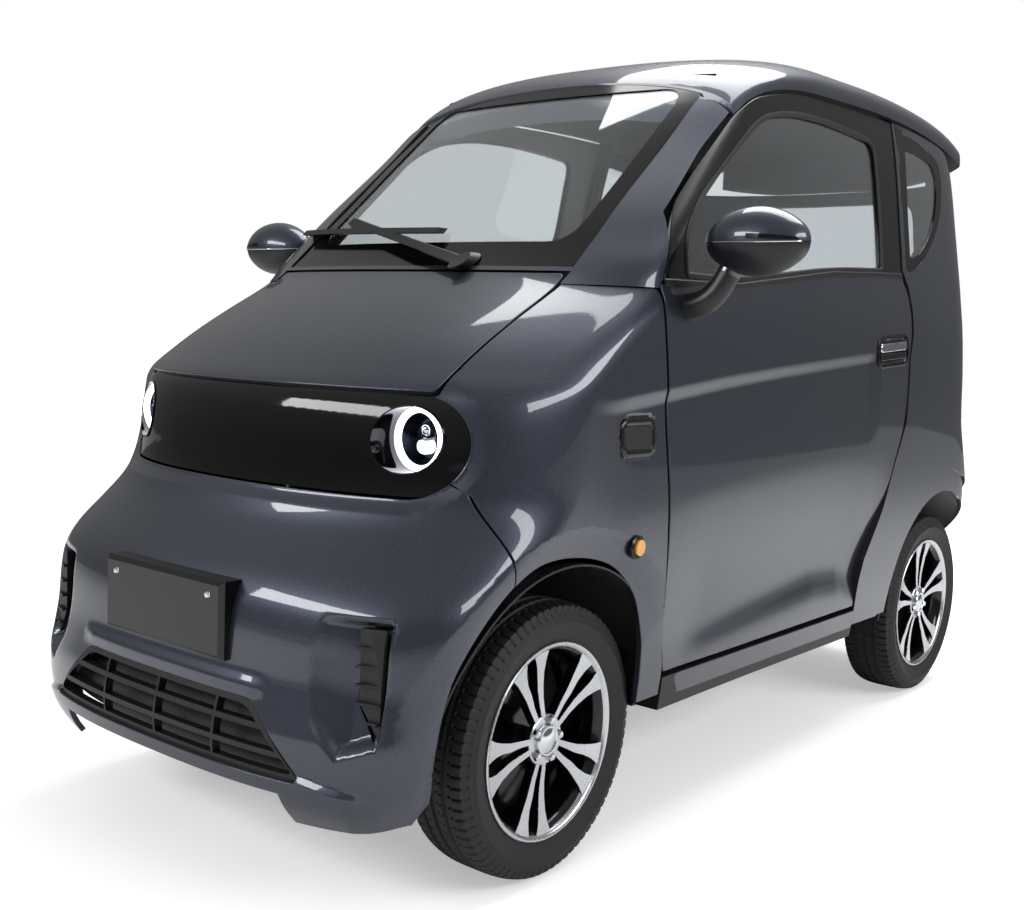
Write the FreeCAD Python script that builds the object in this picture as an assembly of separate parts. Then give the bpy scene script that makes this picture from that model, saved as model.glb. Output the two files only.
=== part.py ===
import FreeCAD
import Part
import Sketcher
import math
import os

V = FreeCAD.Vector
doc = FreeCAD.newDocument("microcar")
sheet = doc.addObject("Spreadsheet::Sheet", "sizes")

# Driving sizes, in millimetres and degrees, by piece
SIZES = (
    ("half_length", 1300), ("half_width", 556), ("body_height", 1645), ("overrun", 60),
    ("axle_front", 800), ("axle_rear", 930), ("wheel_out", 452), ("wheel_high", 250),
    ("skin_thick", 16), ("wall_thick", 42), ("glass_deep", 6), ("glass_thick", 5),
    ("panel_gap", 6), ("spindle_clearance", 0.05), ("seat_clearance", 0.3), ("arch_round", 322),
    ("arch_rear", 566), ("arch_band", 62), ("fold_end", 600), ("liner_thick", 4),
    # Tyre: tread, sidewall and bead
    ("tyre_round", 250), ("tread_wide", 116), ("tyre_wide", 145), ("bulge_round", 215),
    ("bead_round", 168), ("bead_wide", 112),
    # Rim: lip, barrel, spokes and hub
    ("lip_round", 179), ("lip_wide", 129), ("lip_edge", 5), ("barrel_round", 160), ("barrel_thick", 5),
    ("spoke_out", 52), ("spoke_thick", 16), ("spoke_root", 17), ("spoke_tip", 31), ("spoke_gap", 26),
    ("hub_round", 42), ("hub_deep", 60), ("cap_round", 27), ("cap_rise", 9), ("spindle_round", 14),
    # Knuckle and kingpin
    ("kingpin_out", 372), ("kingpin_round", 12), ("knuckle_wide", 34), ("knuckle_long", 60),
    ("knuckle_tall", 130),
    # Frame, floor and drive
    ("rail_out", 165), ("rail_wide", 40), ("rail_tall", 60), ("rail_low", 185), ("rail_front", 1150),
    ("rail_rear", 1180), ("floor_thick", 8), ("floor_out", 500), ("sill_low", 275), ("sill_top", 312),
    ("sill_wide", 60), ("cross_long", 50), ("axle_tube", 35), ("motor_round", 95), ("motor_wide", 200),
    ("battery_wide", 280), ("battery_long", 620), ("battery_tall", 150), ("battery_mid", 60),
    ("front_well_in", 225), ("rear_well_in", 345), ("fire_wall", 560), ("fire_half", 466), ("wall_top", 1000),
    ("rear_deck", 560), ("deck_front", 520),
    # Hood and windscreen
    ("hood_half", 400), ("hood_low", 866), ("hood_top", 1088), ("hood_rear", 690), ("window_round", 40),
    ("screen_low_half", 398), ("screen_top_half", 387), ("screen_low", 1096), ("screen_rim", 34),
    # Lamp band and lamps
    ("band_low", 692), ("band_top", 864), ("band_half", 463), ("band_rim", 25),
    ("lamp_out", 364), ("lamp_high", 786), ("lamp_round", 58), ("lamp_ring", 8), ("lamp_front", 1012),
    ("lamp_deep", 60), ("lamp_set", 14),
    # Lower grille, plate holder and side vents
    ("grille_low", 243), ("grille_top", 358), ("grille_low_half", 350), ("grille_top_half", 236),
    ("slat_tall", 9), ("slat_deep", 22), ("frame_wide", 10), ("web_wide", 5),
    ("plate_half", 168), ("plate_low", 408), ("plate_tall", 134), ("plate_thick", 8), ("plate_front", 1264),
    # Scoops beside the grille, with finned vents in their outer walls
    ("scoop_in", 346), ("scoop_deep_at", 420), ("scoop_out", 466), ("scoop_low", 280), ("scoop_top", 508),
    ("scoop_front", 1224), ("scoop_back", 1187), ("scoop_side", 1178), ("vent_low", 322), ("vent_top", 500),
    ("vent_thick", 12), ("fin_tall", 4), ("fin_rise", 7),
    # Lip under the bumper
    ("lip_low", 165), ("lip_middle", 218), ("lip_high", 252), ("lip_end_high", 205), ("lip_step", 305),
    ("lip_rise", 9),
    # Lamps, handles and small fittings of the sides
    ("tail_lamp_in", 448), ("tail_lamp_out", 520), ("tail_lamp_low", 850), ("tail_lamp_top", 1110),
    ("gate_half", 436), ("gate_low", 590), ("gate_window_half", 345), ("gate_window_low", 1080),
    ("gate_window_top", 1396), ("bumper_top", 584), ("bumper_seam", 1160),
    ("marker_round", 15), ("marker_at", 620), ("marker_high", 586), ("port_at", 620), ("port_high", 788),
    ("port_long", 112), ("port_tall", 68), ("port_rim", 6), ("fitting_rise", 5),
    ("handle_at", 522), ("handle_high", 956), ("handle_long", 186), ("handle_tall", 74), ("handle_grip", 34),
    # Mirror: a lens-shaped housing on a thick curved arm
    ("mirror_out", 670), ("mirror_at", 440), ("mirror_high", 1154), ("mirror_half_wide", 102),
    ("mirror_half_tall", 65), ("mirror_end_round", 45), ("mirror_back", 36), ("mirror_arm", 25),
    ("mirror_foot_at", 455), ("mirror_foot_high", 1034), ("mirror_foot_out", 530), ("mirror_elbow_out", 590),
    ("mirror_elbow_high", 1052), ("mirror_neck_out", 622), ("mirror_neck_high", 1120),
    # Wiper: pivot, arm and blade, which follow the windscreen
    ("wiper_out", 170), ("wiper_high", 1106), ("wiper_round", 17), ("wiper_thick", 7),
    ("wiper_tip_out", 262), ("wiper_tip_high", 1202), ("wiper_lift", 20), ("blade_in", 40),
    ("blade_in_high", 1172), ("blade_out", 440), ("blade_out_high", 1180), ("blade_thick", 6),
    # Seats, dashboard and steering
    ("seat_out", 235), ("seat_wide", 400), ("seat_long", 430), ("seat_thick", 110), ("seat_high", 425),
    ("seat_at", 45), ("back_tall", 480), ("back_thick", 95), ("back_lean", 12), ("rest_wide", 230),
    ("rest_tall", 220), ("seat_round", 35),
    ("dash_half", 450), ("dash_front", 596), ("dash_rear", 430), ("dash_low", 800), ("dash_top", 1050),
    ("wheel_ring", 170), ("ring_thick", 13), ("column_out", 235), ("column_at", 300), ("column_high", 985),
    ("column_lean", 30), ("column_round", 18), ("column_long", 190), ("boss_round", 45),
)
for row, (name, value) in enumerate(SIZES, start=1):
    sheet.set("A%d" % row, name)
    sheet.set("B%d" % row, str(value))
    sheet.setAlias("B%d" % row, name)
doc.recompute()


def size(name):
    """Value of one named size."""
    return float(sheet.get(name))


# Curves of the body: (share of the body's height, share of the length or width that it follows)
NOSE_SHARES = (
    (0.0912, -0.9423), (0.1246, -0.9708), (0.1581, -0.9800), (0.1824, -0.9800), (0.2128, -0.9715),
    (0.2432, -0.9638), (0.2857, -0.9600), (0.3100, -0.9546), (0.3343, -0.9392), (0.3647, -0.9077),
    (0.3951, -0.8815), (0.4255, -0.8700), (0.4742, -0.8646), (0.5046, -0.8577), (0.5264, -0.8446),
    (0.5471, -0.8092), (0.5714, -0.7615), (0.6079, -0.6769), (0.6383, -0.5985), (0.6608, -0.5408),
    (0.7295, -0.4392), (0.7903, -0.3515), (0.8511, -0.2638), (0.9119, -0.1762), (0.9392, -0.1369),
)
TAIL_SHARES = (
    (0.0912, 0.9400), (0.1246, 0.9662), (0.1824, 0.9831), (0.2736, 0.9846), (0.3404, 0.9815),
    (0.3891, 0.9708), (0.4559, 0.9646), (0.5471, 0.9600), (0.6687, 0.9554), (0.7903, 0.9538),
    (0.8815, 0.9523), (0.9392, 0.9423),
)
SIDE_SHARES = (
    (0.0912, 0.9137), (0.1520, 0.9622), (0.2432, 0.9874), (0.3647, 1.0000), (0.5167, 0.9946),
    (0.6079, 0.9802), (0.6687, 0.9586), (0.7295, 0.9317), (0.7903, 0.9029), (0.8511, 0.8741),
    (0.9119, 0.8381), (0.9392, 0.8183),
)
FRONT_CORNER_SHARES = (
    (0.0912, 0.1654), (0.2432, 0.1754), (0.3040, 0.1846), (0.3647, 0.2192), (0.4255, 0.2562),
    (0.5264, 0.2562), (0.6079, 0.2308), (0.6444, 0.2015), (0.6687, 0.1269), (0.7903, 0.1115),
    (0.9392, 0.0962),
)
REAR_CORNER_SHARES = (
    (0.0912, 0.1615), (0.3647, 0.1769), (0.4863, 0.2308), (0.9392, 0.2308),
)
FRONT_SQUARE_SHARES = ((0.09, 2.6), (0.303, 2.6), (0.425, 2.2), (0.95, 2.2))
REAR_SQUARE_SHARES = ((0.09, 2.6), (0.95, 2.6))
SECTION_SHARES = (
    0.0912, 0.1094, 0.1246, 0.1520, 0.1824, 0.2128, 0.2432, 0.2736, 0.3040, 0.3222,
    0.3404, 0.3647, 0.3951, 0.4255, 0.4620, 0.4985, 0.5264, 0.5471, 0.5714, 0.6079,
    0.6383, 0.6608, 0.6748, 0.6991, 0.7295, 0.7903, 0.8511, 0.9119, 0.9392,
)


def follow(shares, share, scale):
    """Monotone cubic through a table of shares, at one share of the height, times a size."""
    xs = [a for a, b in shares]
    ys = [b for a, b in shares]
    last = len(xs) - 1
    step = [xs[i + 1] - xs[i] for i in range(last)]
    rise = [(ys[i + 1] - ys[i]) / step[i] for i in range(last)]
    lean = [rise[0]] + [0.0] * (last - 1) + [rise[-1]]
    for i in range(1, last):
        if rise[i - 1] * rise[i] > 0:
            a, b = 2 * step[i] + step[i - 1], step[i] + 2 * step[i - 1]
            lean[i] = (a + b) / (a / rise[i - 1] + b / rise[i])
    share = min(max(share, xs[0]), xs[-1])
    i = max(k for k in range(last) if xs[k] <= share)
    t, s = (share - xs[i]) / step[i], step[i]
    value = (2 * t ** 3 - 3 * t ** 2 + 1) * ys[i] + (t ** 3 - 2 * t ** 2 + t) * s * lean[i]
    value += (3 * t ** 2 - 2 * t ** 3) * ys[i + 1] + (t ** 3 - t ** 2) * s * lean[i + 1]
    return value * scale


def slope(shares, share, scale):
    """How fast a curve of the body moves with height."""
    small = 0.004
    low, top = shares[0][0], shares[-1][0]
    a, b = max(low, share - small), min(top, share + small)
    change = follow(shares, b, scale) - follow(shares, a, scale)
    return change / ((b - a) * size("body_height"))


def spacing(points):
    """Parameters of a closed curve through points, by the length between them."""
    values = [0.0]
    for here, after in zip(points, points[1:] + points[:1]):
        values.append(values[-1] + here.distanceToPoint(after))
    return [value / values[-1] for value in values]


def section_points(share, inset):
    """Points round the body at one height, drawn in by an inset."""
    high = share * size("body_height")
    length, half = size("half_length"), size("half_width")
    front = follow(NOSE_SHARES, share, length)
    front += inset * math.hypot(1, slope(NOSE_SHARES, share, length))
    rear = follow(TAIL_SHARES, share, length)
    rear -= inset * math.hypot(1, slope(TAIL_SHARES, share, length))
    wide = follow(SIDE_SHARES, share, half)
    wide -= inset * math.hypot(1, slope(SIDE_SHARES, share, half))
    nose = follow(FRONT_CORNER_SHARES, share, length) - inset / 2
    tail = follow(REAR_CORNER_SHARES, share, length) - inset / 2
    nose_power = 2 / follow(FRONT_SQUARE_SHARES, share, 1)
    tail_power = 2 / follow(REAR_SQUARE_SHARES, share, 1)
    points = []
    for turn in (0, 22, 42, 60, 77, 90):
        a = math.radians(turn)
        across = wide * math.sin(a) ** tail_power
        points.append(V(across, rear - tail * (1 - max(0, math.cos(a)) ** tail_power), high))
    points[0].x = 0
    start, end = rear - tail, front + nose
    for part in (0.33, 0.67):
        points.append(V(wide, start + part * (end - start), high))
    for turn in (90, 77, 60, 42, 22, 0):
        a = math.radians(turn)
        across = wide * math.sin(a) ** nose_power
        points.append(V(across, front + nose * (1 - max(0, math.cos(a)) ** nose_power), high))
    points[-1].x = 0
    return points + [V(-p.x, p.y, p.z) for p in points[-2:0:-1]]


def body_section(share, inset):
    """Closed outline of the body at one height, drawn in by an inset."""
    curve = Part.BSplineCurve()
    curve.interpolate(Points=section_points(share, inset), PeriodicFlag=True,
                      Parameters=spacing(section_points(SECTION_SHARES[-1] / 2, 0)))
    return Part.Wire([curve.toShape()])


def body_form(inset):
    """Whole lower body and glasshouse as one lofted solid, drawn in by an inset."""
    return Part.makeLoft([body_section(share, inset) for share in SECTION_SHARES], True, False, False)


def prism(flat, way, start, stop):
    """Solid from an outline in the plane across one axis, between two places on that axis."""
    base = {"x": lambda a, b: V(start, a, b), "y": lambda a, b: V(a, start, b), "z": lambda a, b: V(a, b, start)}
    run = {"x": V(stop - start, 0, 0), "y": V(0, stop - start, 0), "z": V(0, 0, stop - start)}
    corners = [base[way](a, b) for a, b in flat]
    return Part.Face(Part.makePolygon(corners + corners[:1])).extrude(run[way])


def rounded(corners, radius):
    """Outline with each corner replaced by an arc of short straight runs."""
    points = []
    count = len(corners)
    for i in range(count):
        before, here, after = corners[i - 1], corners[i], corners[(i + 1) % count]
        ax, ay = before[0] - here[0], before[1] - here[1]
        bx, by = after[0] - here[0], after[1] - here[1]
        la, lb = math.hypot(ax, ay), math.hypot(bx, by)
        reach = min(radius, la / 2.2, lb / 2.2)
        for k in range(5):
            t = k / 4
            a, c = (1 - t) ** 2, t ** 2
            points.append((here[0] + reach * (a * ax / la + c * bx / lb),
                           here[1] + reach * (a * ay / la + c * by / lb)))
    return points


def side_points(shares):
    """Outline in the side view, from shares of the half length and the height."""
    return [(a * size("half_length"), b * size("body_height")) for a, b in shares]


def box(x0, x1, y0, y1, z0, z1):
    """Box between two corners."""
    return Part.makeBox(x1 - x0, y1 - y0, z1 - z0, V(x0, y0, z0))


def mirrored(shape):
    """The same piece on the other side of the car."""
    return shape.mirror(V(0, 0, 0), V(1, 0, 0))


def rod(start, end, radius):
    """Round bar between two points."""
    return Part.makeCylinder(radius, (end - start).Length, start, end - start)


def piece(name, shape, middle=None, turn=0):
    """Adds one finished sub-part to the document, moved to its middle if one is given."""
    thing = doc.addObject("Part::Feature", name)
    thing.Label = name
    thing.Shape = shape
    thing.Placement = FreeCAD.Placement(middle or V(0, 0, 0), FreeCAD.Rotation(V(0, 0, 1), turn))
    pieces.append(thing)
    return thing


pieces = []
over = size("overrun")
length, half, tall = size("half_length"), size("half_width"), size("body_height")
outer = body_form(0)
skin_in = body_form(size("skin_thick"))
wall_in = body_form(size("wall_thick"))
glass_out = body_form(size("glass_deep"))
glass_in = body_form(size("glass_deep") + size("glass_thick"))
skin = outer.cut(skin_in)
wall = outer.cut(wall_in)
glazing = glass_out.cut(glass_in)

# Roof: cross sections along the car, as shares of its half length, half width and height
ROOF_SHARES = (
    (-0.1462, 0.8310, 0.8723, 0.9325, 2.15), (-0.0900, 0.8330, 0.9010, 0.9600, 2.30),
    (-0.0300, 0.8345, 0.9180, 0.9745, 2.50), (0.0800, 0.8360, 0.9320, 0.9900, 2.80),
    (0.2700, 0.8365, 0.9380, 0.9980, 3.00), (0.5000, 0.8365, 0.9390, 1.0000, 3.00),
    (0.7000, 0.8340, 0.9280, 0.9940, 3.00), (0.8500, 0.8300, 0.9060, 0.9770, 3.00),
    (0.9500, 0.8200, 0.8750, 0.9500, 2.80),
)


def roof_form(inset, drop):
    """Roof as one lofted solid, drawn in by an inset, its underside lowered by a drop."""
    wires = []
    for along, wide, edge, crown, power in ROOF_SHARES:
        across, low, high = wide * half - inset, edge * tall - drop, crown * tall - inset
        points = []
        for turn in (0, 8, 18, 30, 44, 58, 70, 80, 90):
            a = math.radians(turn)
            up = low + drop + (high - low - drop) * max(0, math.sin(a)) ** (2 / power)
            points.append(V(across * max(0, math.cos(a)) ** (2 / power), along * length, up))
        points[-1].x = 0
        points += [V(-p.x, p.y, p.z) for p in points[-2::-1]]
        arc = Part.BSplineCurve()
        steps = len(points) - 1
        arc.interpolate(Points=points, Parameters=[k / steps for k in range(steps + 1)])
        edges = [arc.toShape()]
        right, left = points[-1], points[0]
        if drop:
            under = [right, V(right.x, right.y, low), V(left.x, left.y, low), left]
            edges += [Part.makeLine(under[k], under[k + 1]) for k in range(3)]
        else:
            edges.append(Part.makeLine(right, left))
        wires.append(Part.Wire(edges))
    return Part.makeLoft(wires, True, False, False)


roof_out = roof_form(0, 0)
edge_line = [(a * length, c * tall) for a, b, c, d, e in ROOF_SHARES]
header = edge_line[0][0] - size("seat_clearance")
under_roof = [(edge_line[0][0], tall + over)] + edge_line + [(length + over, edge_line[-1][1])]
under_roof += [(length + over, 0), (-length - over, 0), (-length - over, tall + over)]
below = prism(under_roof, "x", -half - over, half + over)

# Outlines in the side view: (share of the half length, share of the height)
DOOR_SHARES = (
    (-0.3740, 0.1930), (-0.3823, 0.2371), (-0.3908, 0.3574), (-0.3954, 0.4274), (-0.4085, 0.5350),
    (-0.4192, 0.6334), (-0.4223, 0.6462), (-0.3615, 0.7368), (-0.2438, 0.8195), (-0.1623, 0.8742),
    (-0.0900, 0.9010), (-0.0300, 0.9180), (0.0800, 0.9320), (0.2700, 0.9380), (0.4838, 0.9390),
    (0.4740, 0.8400), (0.4620, 0.7050), (0.4850, 0.6800), (0.4990, 0.6450), (0.5000, 0.6100),
    (0.4838, 0.5684), (0.4769, 0.4711), (0.4246, 0.3982), (0.3885, 0.3392), (0.3246, 0.2669),
    (0.3120, 0.2380), (0.3080, 0.2146),
)
WINDOW_SHARES = (
    (-0.3508, 0.6930), (-0.3346, 0.7234), (-0.2954, 0.7587), (-0.2062, 0.8103), (-0.1069, 0.8644),
    (-0.0554, 0.8833), (0.0331, 0.8979), (0.1508, 0.9033), (0.2892, 0.9003), (0.3969, 0.8960),
    (0.3827, 0.8000), (0.3685, 0.6960), (0.1477, 0.6869), (-0.1946, 0.6638), (-0.3538, 0.6565),
)
QUARTER_SHARES = (
    (0.5015, 0.9240), (0.5908, 0.9191), (0.6677, 0.9046), (0.7031, 0.8888), (0.7077, 0.8620),
    (0.6938, 0.8176), (0.6485, 0.7672), (0.5754, 0.7277), (0.5169, 0.7070), (0.4785, 0.7027),
)
FENDER_BACK_SHARES = (
    (-0.3740, 0.0600), (-0.3740, 0.1930), (-0.3823, 0.2371), (-0.3908, 0.3574), (-0.3954, 0.4274),
    (-0.4085, 0.5350), (-0.4192, 0.6334), (-0.4223, 0.6462),
)
BUMPER_SEAM_SHARES = ((-0.7650, 0.4498), (-0.7369, 0.3368), (-0.7300, 0.0600))


def offset_outline(points, inset):
    """Closed outline moved inwards (or outwards when negative) by a fixed distance."""
    flat = [V(a, b, 0) for a, b in points]
    wire = Part.makePolygon(flat + flat[:1])
    moved = wire.makeOffset2D(-inset, 2)
    return [(v.X, v.Y) for v in moved.OrderedVertexes]


def largest(shape):
    """The largest solid of a shape."""
    return max(shape.Solids, key=lambda s: s.Volume)


def clear(shape, *tools):
    """A piece with several others cut away in turn."""
    for tool in tools:
        shape = shape.cut(tool)
    return shape


def recess(tool):
    """Cutter that leaves a shallow recess of even depth in the body's surface."""
    return tool.cut(glass_out)


gap = size("panel_gap")
door_hole = side_points(DOOR_SHARES)
door_edge = offset_outline(door_hole, gap)
window = rounded(side_points(WINDOW_SHARES), size("window_round"))
quarter = rounded(side_points(QUARTER_SHARES), size("window_round"))
fender_back = side_points(FENDER_BACK_SHARES)
bumper_seam = side_points(BUMPER_SEAM_SHARES)
pillar_seam = fender_back[-1][1]
full = half + over
arch = size("arch_round")
front_axle, rear_axle = -size("axle_front"), size("axle_rear")
wheel_high = size("wheel_high")

# Openings for the wheels
front_arch = rod(V(-full, front_axle, wheel_high), V(full, front_axle, wheel_high), arch)
arches = Part.makeCompound([
    front_arch.common(box(-full, full, front_axle - arch, -size("arch_rear"), 0, tall)),
    rod(V(-full, rear_axle, wheel_high), V(full, rear_axle, wheel_high), arch),
])
tunnel = Part.makeCompound([
    box(-full, full, front_axle - arch, -size("arch_rear"), 0, wheel_high),
    box(-full, full, rear_axle - arch, rear_axle + arch, 0, wheel_high),
])

# Recessed band round each wheel opening
fold = arch + size("arch_band")
fold_start, fold_end = V(0, front_axle, wheel_high), V(full, front_axle, wheel_high)
front_fold = recess(rod(fold_start, fold_end, fold).cut(box(0, full, -size("fold_end"), 0, 0, tall)))
rear_fold = recess(rod(V(0, rear_axle, wheel_high), V(full, rear_axle, wheel_high), fold))

# Lamp band: a stadium across the nose
band_mid = (size("band_low") + size("band_top")) / 2
band_high = (size("band_top") - size("band_low")) / 2
band_half = size("band_half")
band_line = [(-band_half, band_mid - band_high), (band_half, band_mid - band_high),
             (band_half, band_mid + band_high), (-band_half, band_mid + band_high)]
band = prism(rounded(band_line, band_high), "y", -length - over, bumper_seam[0][0] + over)

# Front bumper with its grille, scoops, lip and plate seat
bumper_region = prism([(-length - over, over)] + [(-length - over, bumper_seam[0][1])] + bumper_seam,
                      "x", -full, full)
grille_line = [(-size("grille_low_half"), size("grille_low")), (size("grille_low_half"), size("grille_low")),
               (size("grille_top_half"), size("grille_top")), (-size("grille_top_half"), size("grille_top"))]
grille_hole = prism(rounded(grille_line, size("slat_deep")), "y", -length - over, front_axle - arch)
rim_line = rounded(offset_outline(band_line, -size("band_rim")), band_high + size("band_rim"))
band_rim = recess(prism(rim_line, "y", -length - over, bumper_seam[0][0] + over))


def scoop_prism(grow):
    """Wedge beside the grille that deepens towards the wheel, grown by a thickness."""
    plan = [(size("scoop_in") - grow, -length - over), (size("scoop_in") - grow, -size("scoop_front") + grow),
            (size("scoop_deep_at"), -size("scoop_back") + grow * 1.5),
            (size("scoop_out") + grow, -size("scoop_side") + grow), (size("scoop_out") + grow, -length - over)]
    wedge = prism(plan, "z", size("scoop_low") - grow, size("scoop_top") + grow)
    front = [(0, size("scoop_top") + over), (0, size("scoop_top") / 2), (size("scoop_in"), size("vent_low") + over),
             (size("scoop_deep_at"), size("scoop_low") - grow), (size("scoop_out") + over, size("vent_low") - grow),
             (size("scoop_out") + over, size("scoop_top") + over)]
    return wedge.common(prism(front, "y", -length - over, front_axle))


scoop = scoop_prism(0)
scoop_back = scoop_prism(size("vent_thick") / 2).common(outer)
scoops = [scoop, mirrored(scoop)]
vent_line = [(size("scoop_deep_at"), size("vent_low") + over), (size("scoop_out") - gap, size("vent_low")),
             (size("scoop_out") - gap, size("vent_top")), (size("scoop_deep_at"), size("vent_top"))]
vent_hole = prism(vent_line, "y", -size("scoop_back") - over, front_axle - arch)
lip_side = [(0, size("lip_middle")), (size("lip_step"), size("lip_middle")), (size("lip_step") + gap,
            size("lip_low")), (full, size("lip_low")), (full, size("lip_end_high")),
            (size("scoop_deep_at"), size("lip_end_high") + size("slat_deep")),
            (size("scoop_in"), size("lip_high")), (0, size("lip_high"))]
lip_line = lip_side + [(-a, b) for a, b in lip_side[-2:0:-1]]
lip_space = prism(lip_line, "y", -length - over, front_axle - arch)
lip = lip_space.common(body_form(-size("lip_rise"))).cut(skin_in)
under_lip = [(0, 0), (full, 0), (full, size("lip_low")), (size("lip_step") + gap, size("lip_low")),
             (size("lip_step"), size("lip_middle")), (0, size("lip_middle"))]
under_bumper = prism(under_lip + [(-a, b) for a, b in under_lip[-2:0:-1]], "y", -length - over, front_axle)
bumper = skin.common(bumper_region).fuse(scoop_back).fuse(mirrored(scoop_back)).fuse(lip)
bumper = clear(bumper, band, band_rim, grille_hole, vent_hole, mirrored(vent_hole), arches, tunnel,
               under_bumper, front_fold, mirrored(front_fold), *scoops)
piece("front_bumper", largest(bumper.removeSplitter()))

# Lower grille: a frame with slats and webs, and the finned vents of the scoops
grille_front = skin.common(grille_hole)
inner_line = [(a - math.copysign(size("frame_wide"), a), b + (size("frame_wide") if b < size("grille_top")
              else -size("frame_wide"))) for a, b in grille_line]
opening = prism(rounded(inner_line, size("slat_deep")), "y", -length - over, front_axle - arch)
grille = grille_front.cut(opening)
rise = (size("grille_top") - size("grille_low")) / 3
for k in (1, 2):
    high = size("grille_low") + k * rise
    slat = box(-half, half, -length - over, front_axle - arch, high - size("slat_tall") / 2,
               high + size("slat_tall") / 2)
    grille = grille.fuse(slat.common(grille_front))
for side in (-1, 0, 1):
    across = side * size("grille_top_half") * 2 / 3
    web = box(across - size("web_wide") / 2, across + size("web_wide") / 2, -length - over,
              front_axle - arch, size("grille_low"), size("grille_top"))
    grille = grille.fuse(web.common(grille_front))
vent = vent_hole.common(scoop_prism(size("vent_thick"))).common(outer).cut(scoop)
fins = vent_hole.common(scoop).cut(scoop_prism(-size("fin_rise")))
for k in range(5):
    high = size("vent_low") + (k + 1) * (size("vent_top") - size("vent_low")) / 6
    fin = box(size("scoop_deep_at"), half, -length - over, front_axle - arch, high - size("fin_tall") / 2,
              high + size("fin_tall") / 2)
    vent = vent.fuse(fin.common(fins).common(outer))
vent = largest(vent.removeSplitter())
piece("lower_grille", Part.makeCompound([grille.removeSplitter(), vent, mirrored(vent)]))

# Plate holder: a blank bevelled board on the bumper
plate_low, plate_half = size("plate_low"), size("plate_half")
plate_top, plate_front, bevel = plate_low + size("plate_tall"), -size("plate_front"), size("plate_thick")
plate = Part.makeWedge(-plate_half + bevel, plate_front, plate_low + bevel, plate_low, -plate_half,
                       plate_half - bevel, plate_front + bevel, plate_top - bevel, plate_top, plate_half)
plate = plate.fuse(box(-plate_half, plate_half, plate_front + bevel, plate_front + over, plate_low, plate_top))
piece("plate_holder", plate.cut(outer).removeSplitter())

# Lamp band set back behind its painted rim, and two round lamps standing in it
band_form = glass_in.cut(wall_in).common(band)
lamps = []
lamp_cut = []
for side in (-1, 1):
    start = V(side * size("lamp_out"), -size("lamp_front"), size("lamp_high"))
    way = V(0, size("lamp_deep"), 0)
    lamp_cut.append(rod(start - way, start + way, size("lamp_round") + size("seat_clearance")))
    bowl = rod(start, start + way, size("lamp_round"))
    bowl = bowl.cut(rod(start, start + V(0, size("lamp_set"), 0), size("lamp_round") - size("lamp_ring")))
    lens = rod(start + V(0, size("lamp_set") / 2, 0), start + way / 2, size("lamp_round") / 2)
    lamps.append(bowl.fuse(lens).removeSplitter())
piece("lamp_band", clear(band_form, *lamp_cut))
piece("headlamps", Part.makeCompound(lamps))

# Hood
hood_half, hood_low, hood_top = size("hood_half"), size("hood_low"), size("hood_top")
hood_seat = box(-hood_half, hood_half, -length - over, -size("hood_rear") + over, hood_low, hood_top)
hood_region = box(-hood_half + gap, hood_half - gap, -length - over, -size("hood_rear") + over - gap,
                  hood_low + gap, hood_top - gap)
piece("hood", skin.common(hood_region).cut(band_rim))

# Fenders
fender_region = prism([(-length - over, over), (-length - over, pillar_seam)] + fender_back[::-1],
                      "x", 0, full)
low_cut = box(-full, full, -length, 0, 0, size("sill_low"))
middle_cut = box(-half / 2, half / 2, -length - over, 0, 0, tall)
port_line = rounded([(-size("port_at") + a * size("port_long") / 2, size("port_high") + b * size("port_tall") / 2)
                     for a, b in ((-1, -1), (1, -1), (1, 1), (-1, 1))], size("port_rim") * 2)
port_hole = prism(port_line, "x", 0, full)
fender = clear(skin.common(fender_region), bumper_region, band, band_rim, hood_seat, arches, tunnel, low_cut,
               middle_cut, front_fold)
fender = largest(fender)
port_flap = prism(rounded(offset_outline(port_line, size("port_rim")), size("port_rim")), "x", 0, full)
piece("fender_left", fender.cut(recess(port_hole.cut(port_flap))))
piece("fender_right", mirrored(fender))

# Windscreen and the frame around it
screen_line = [(-size("screen_low_half"), size("screen_low")), (size("screen_low_half"), size("screen_low")),
               (size("screen_top_half"), size("body_height")), (-size("screen_top_half"), size("body_height"))]
screen_hole = prism(screen_line, "y", -length - over, header)
rim_line = offset_outline(screen_line, size("screen_rim"))
screen_open = prism(rounded(rim_line, size("screen_rim")), "y", -length - over, header - size("screen_rim"))
screen = screen_hole.common(outer).cut(glass_in)
piece("windscreen", screen)
frame_line = [(-length - over, pillar_seam), (-length - over, tall), (header, tall)]
frame_line += [p for p in door_hole[9:5:-1]]
pillar_region = prism(frame_line, "x", -full, full)
pillars = clear(wall.common(pillar_region.common(below)), screen, screen_open, hood_seat)
piece("windscreen_frame", pillars)

# Roof
plan = Part.Face(body_section(SECTION_SHARES[-5], 0)).extrude(V(0, 0, tall / 3))
inner_roof = roof_form(size("wall_thick"), size("wall_thick") * 2)
inner_roof = inner_roof.cut(box(-full, full, edge_line[-1][0] - size("wall_thick"), length + over, 0, tall + over))
roof = roof_out.cut(inner_roof).common(plan)
piece("roof", largest(roof))

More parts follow.
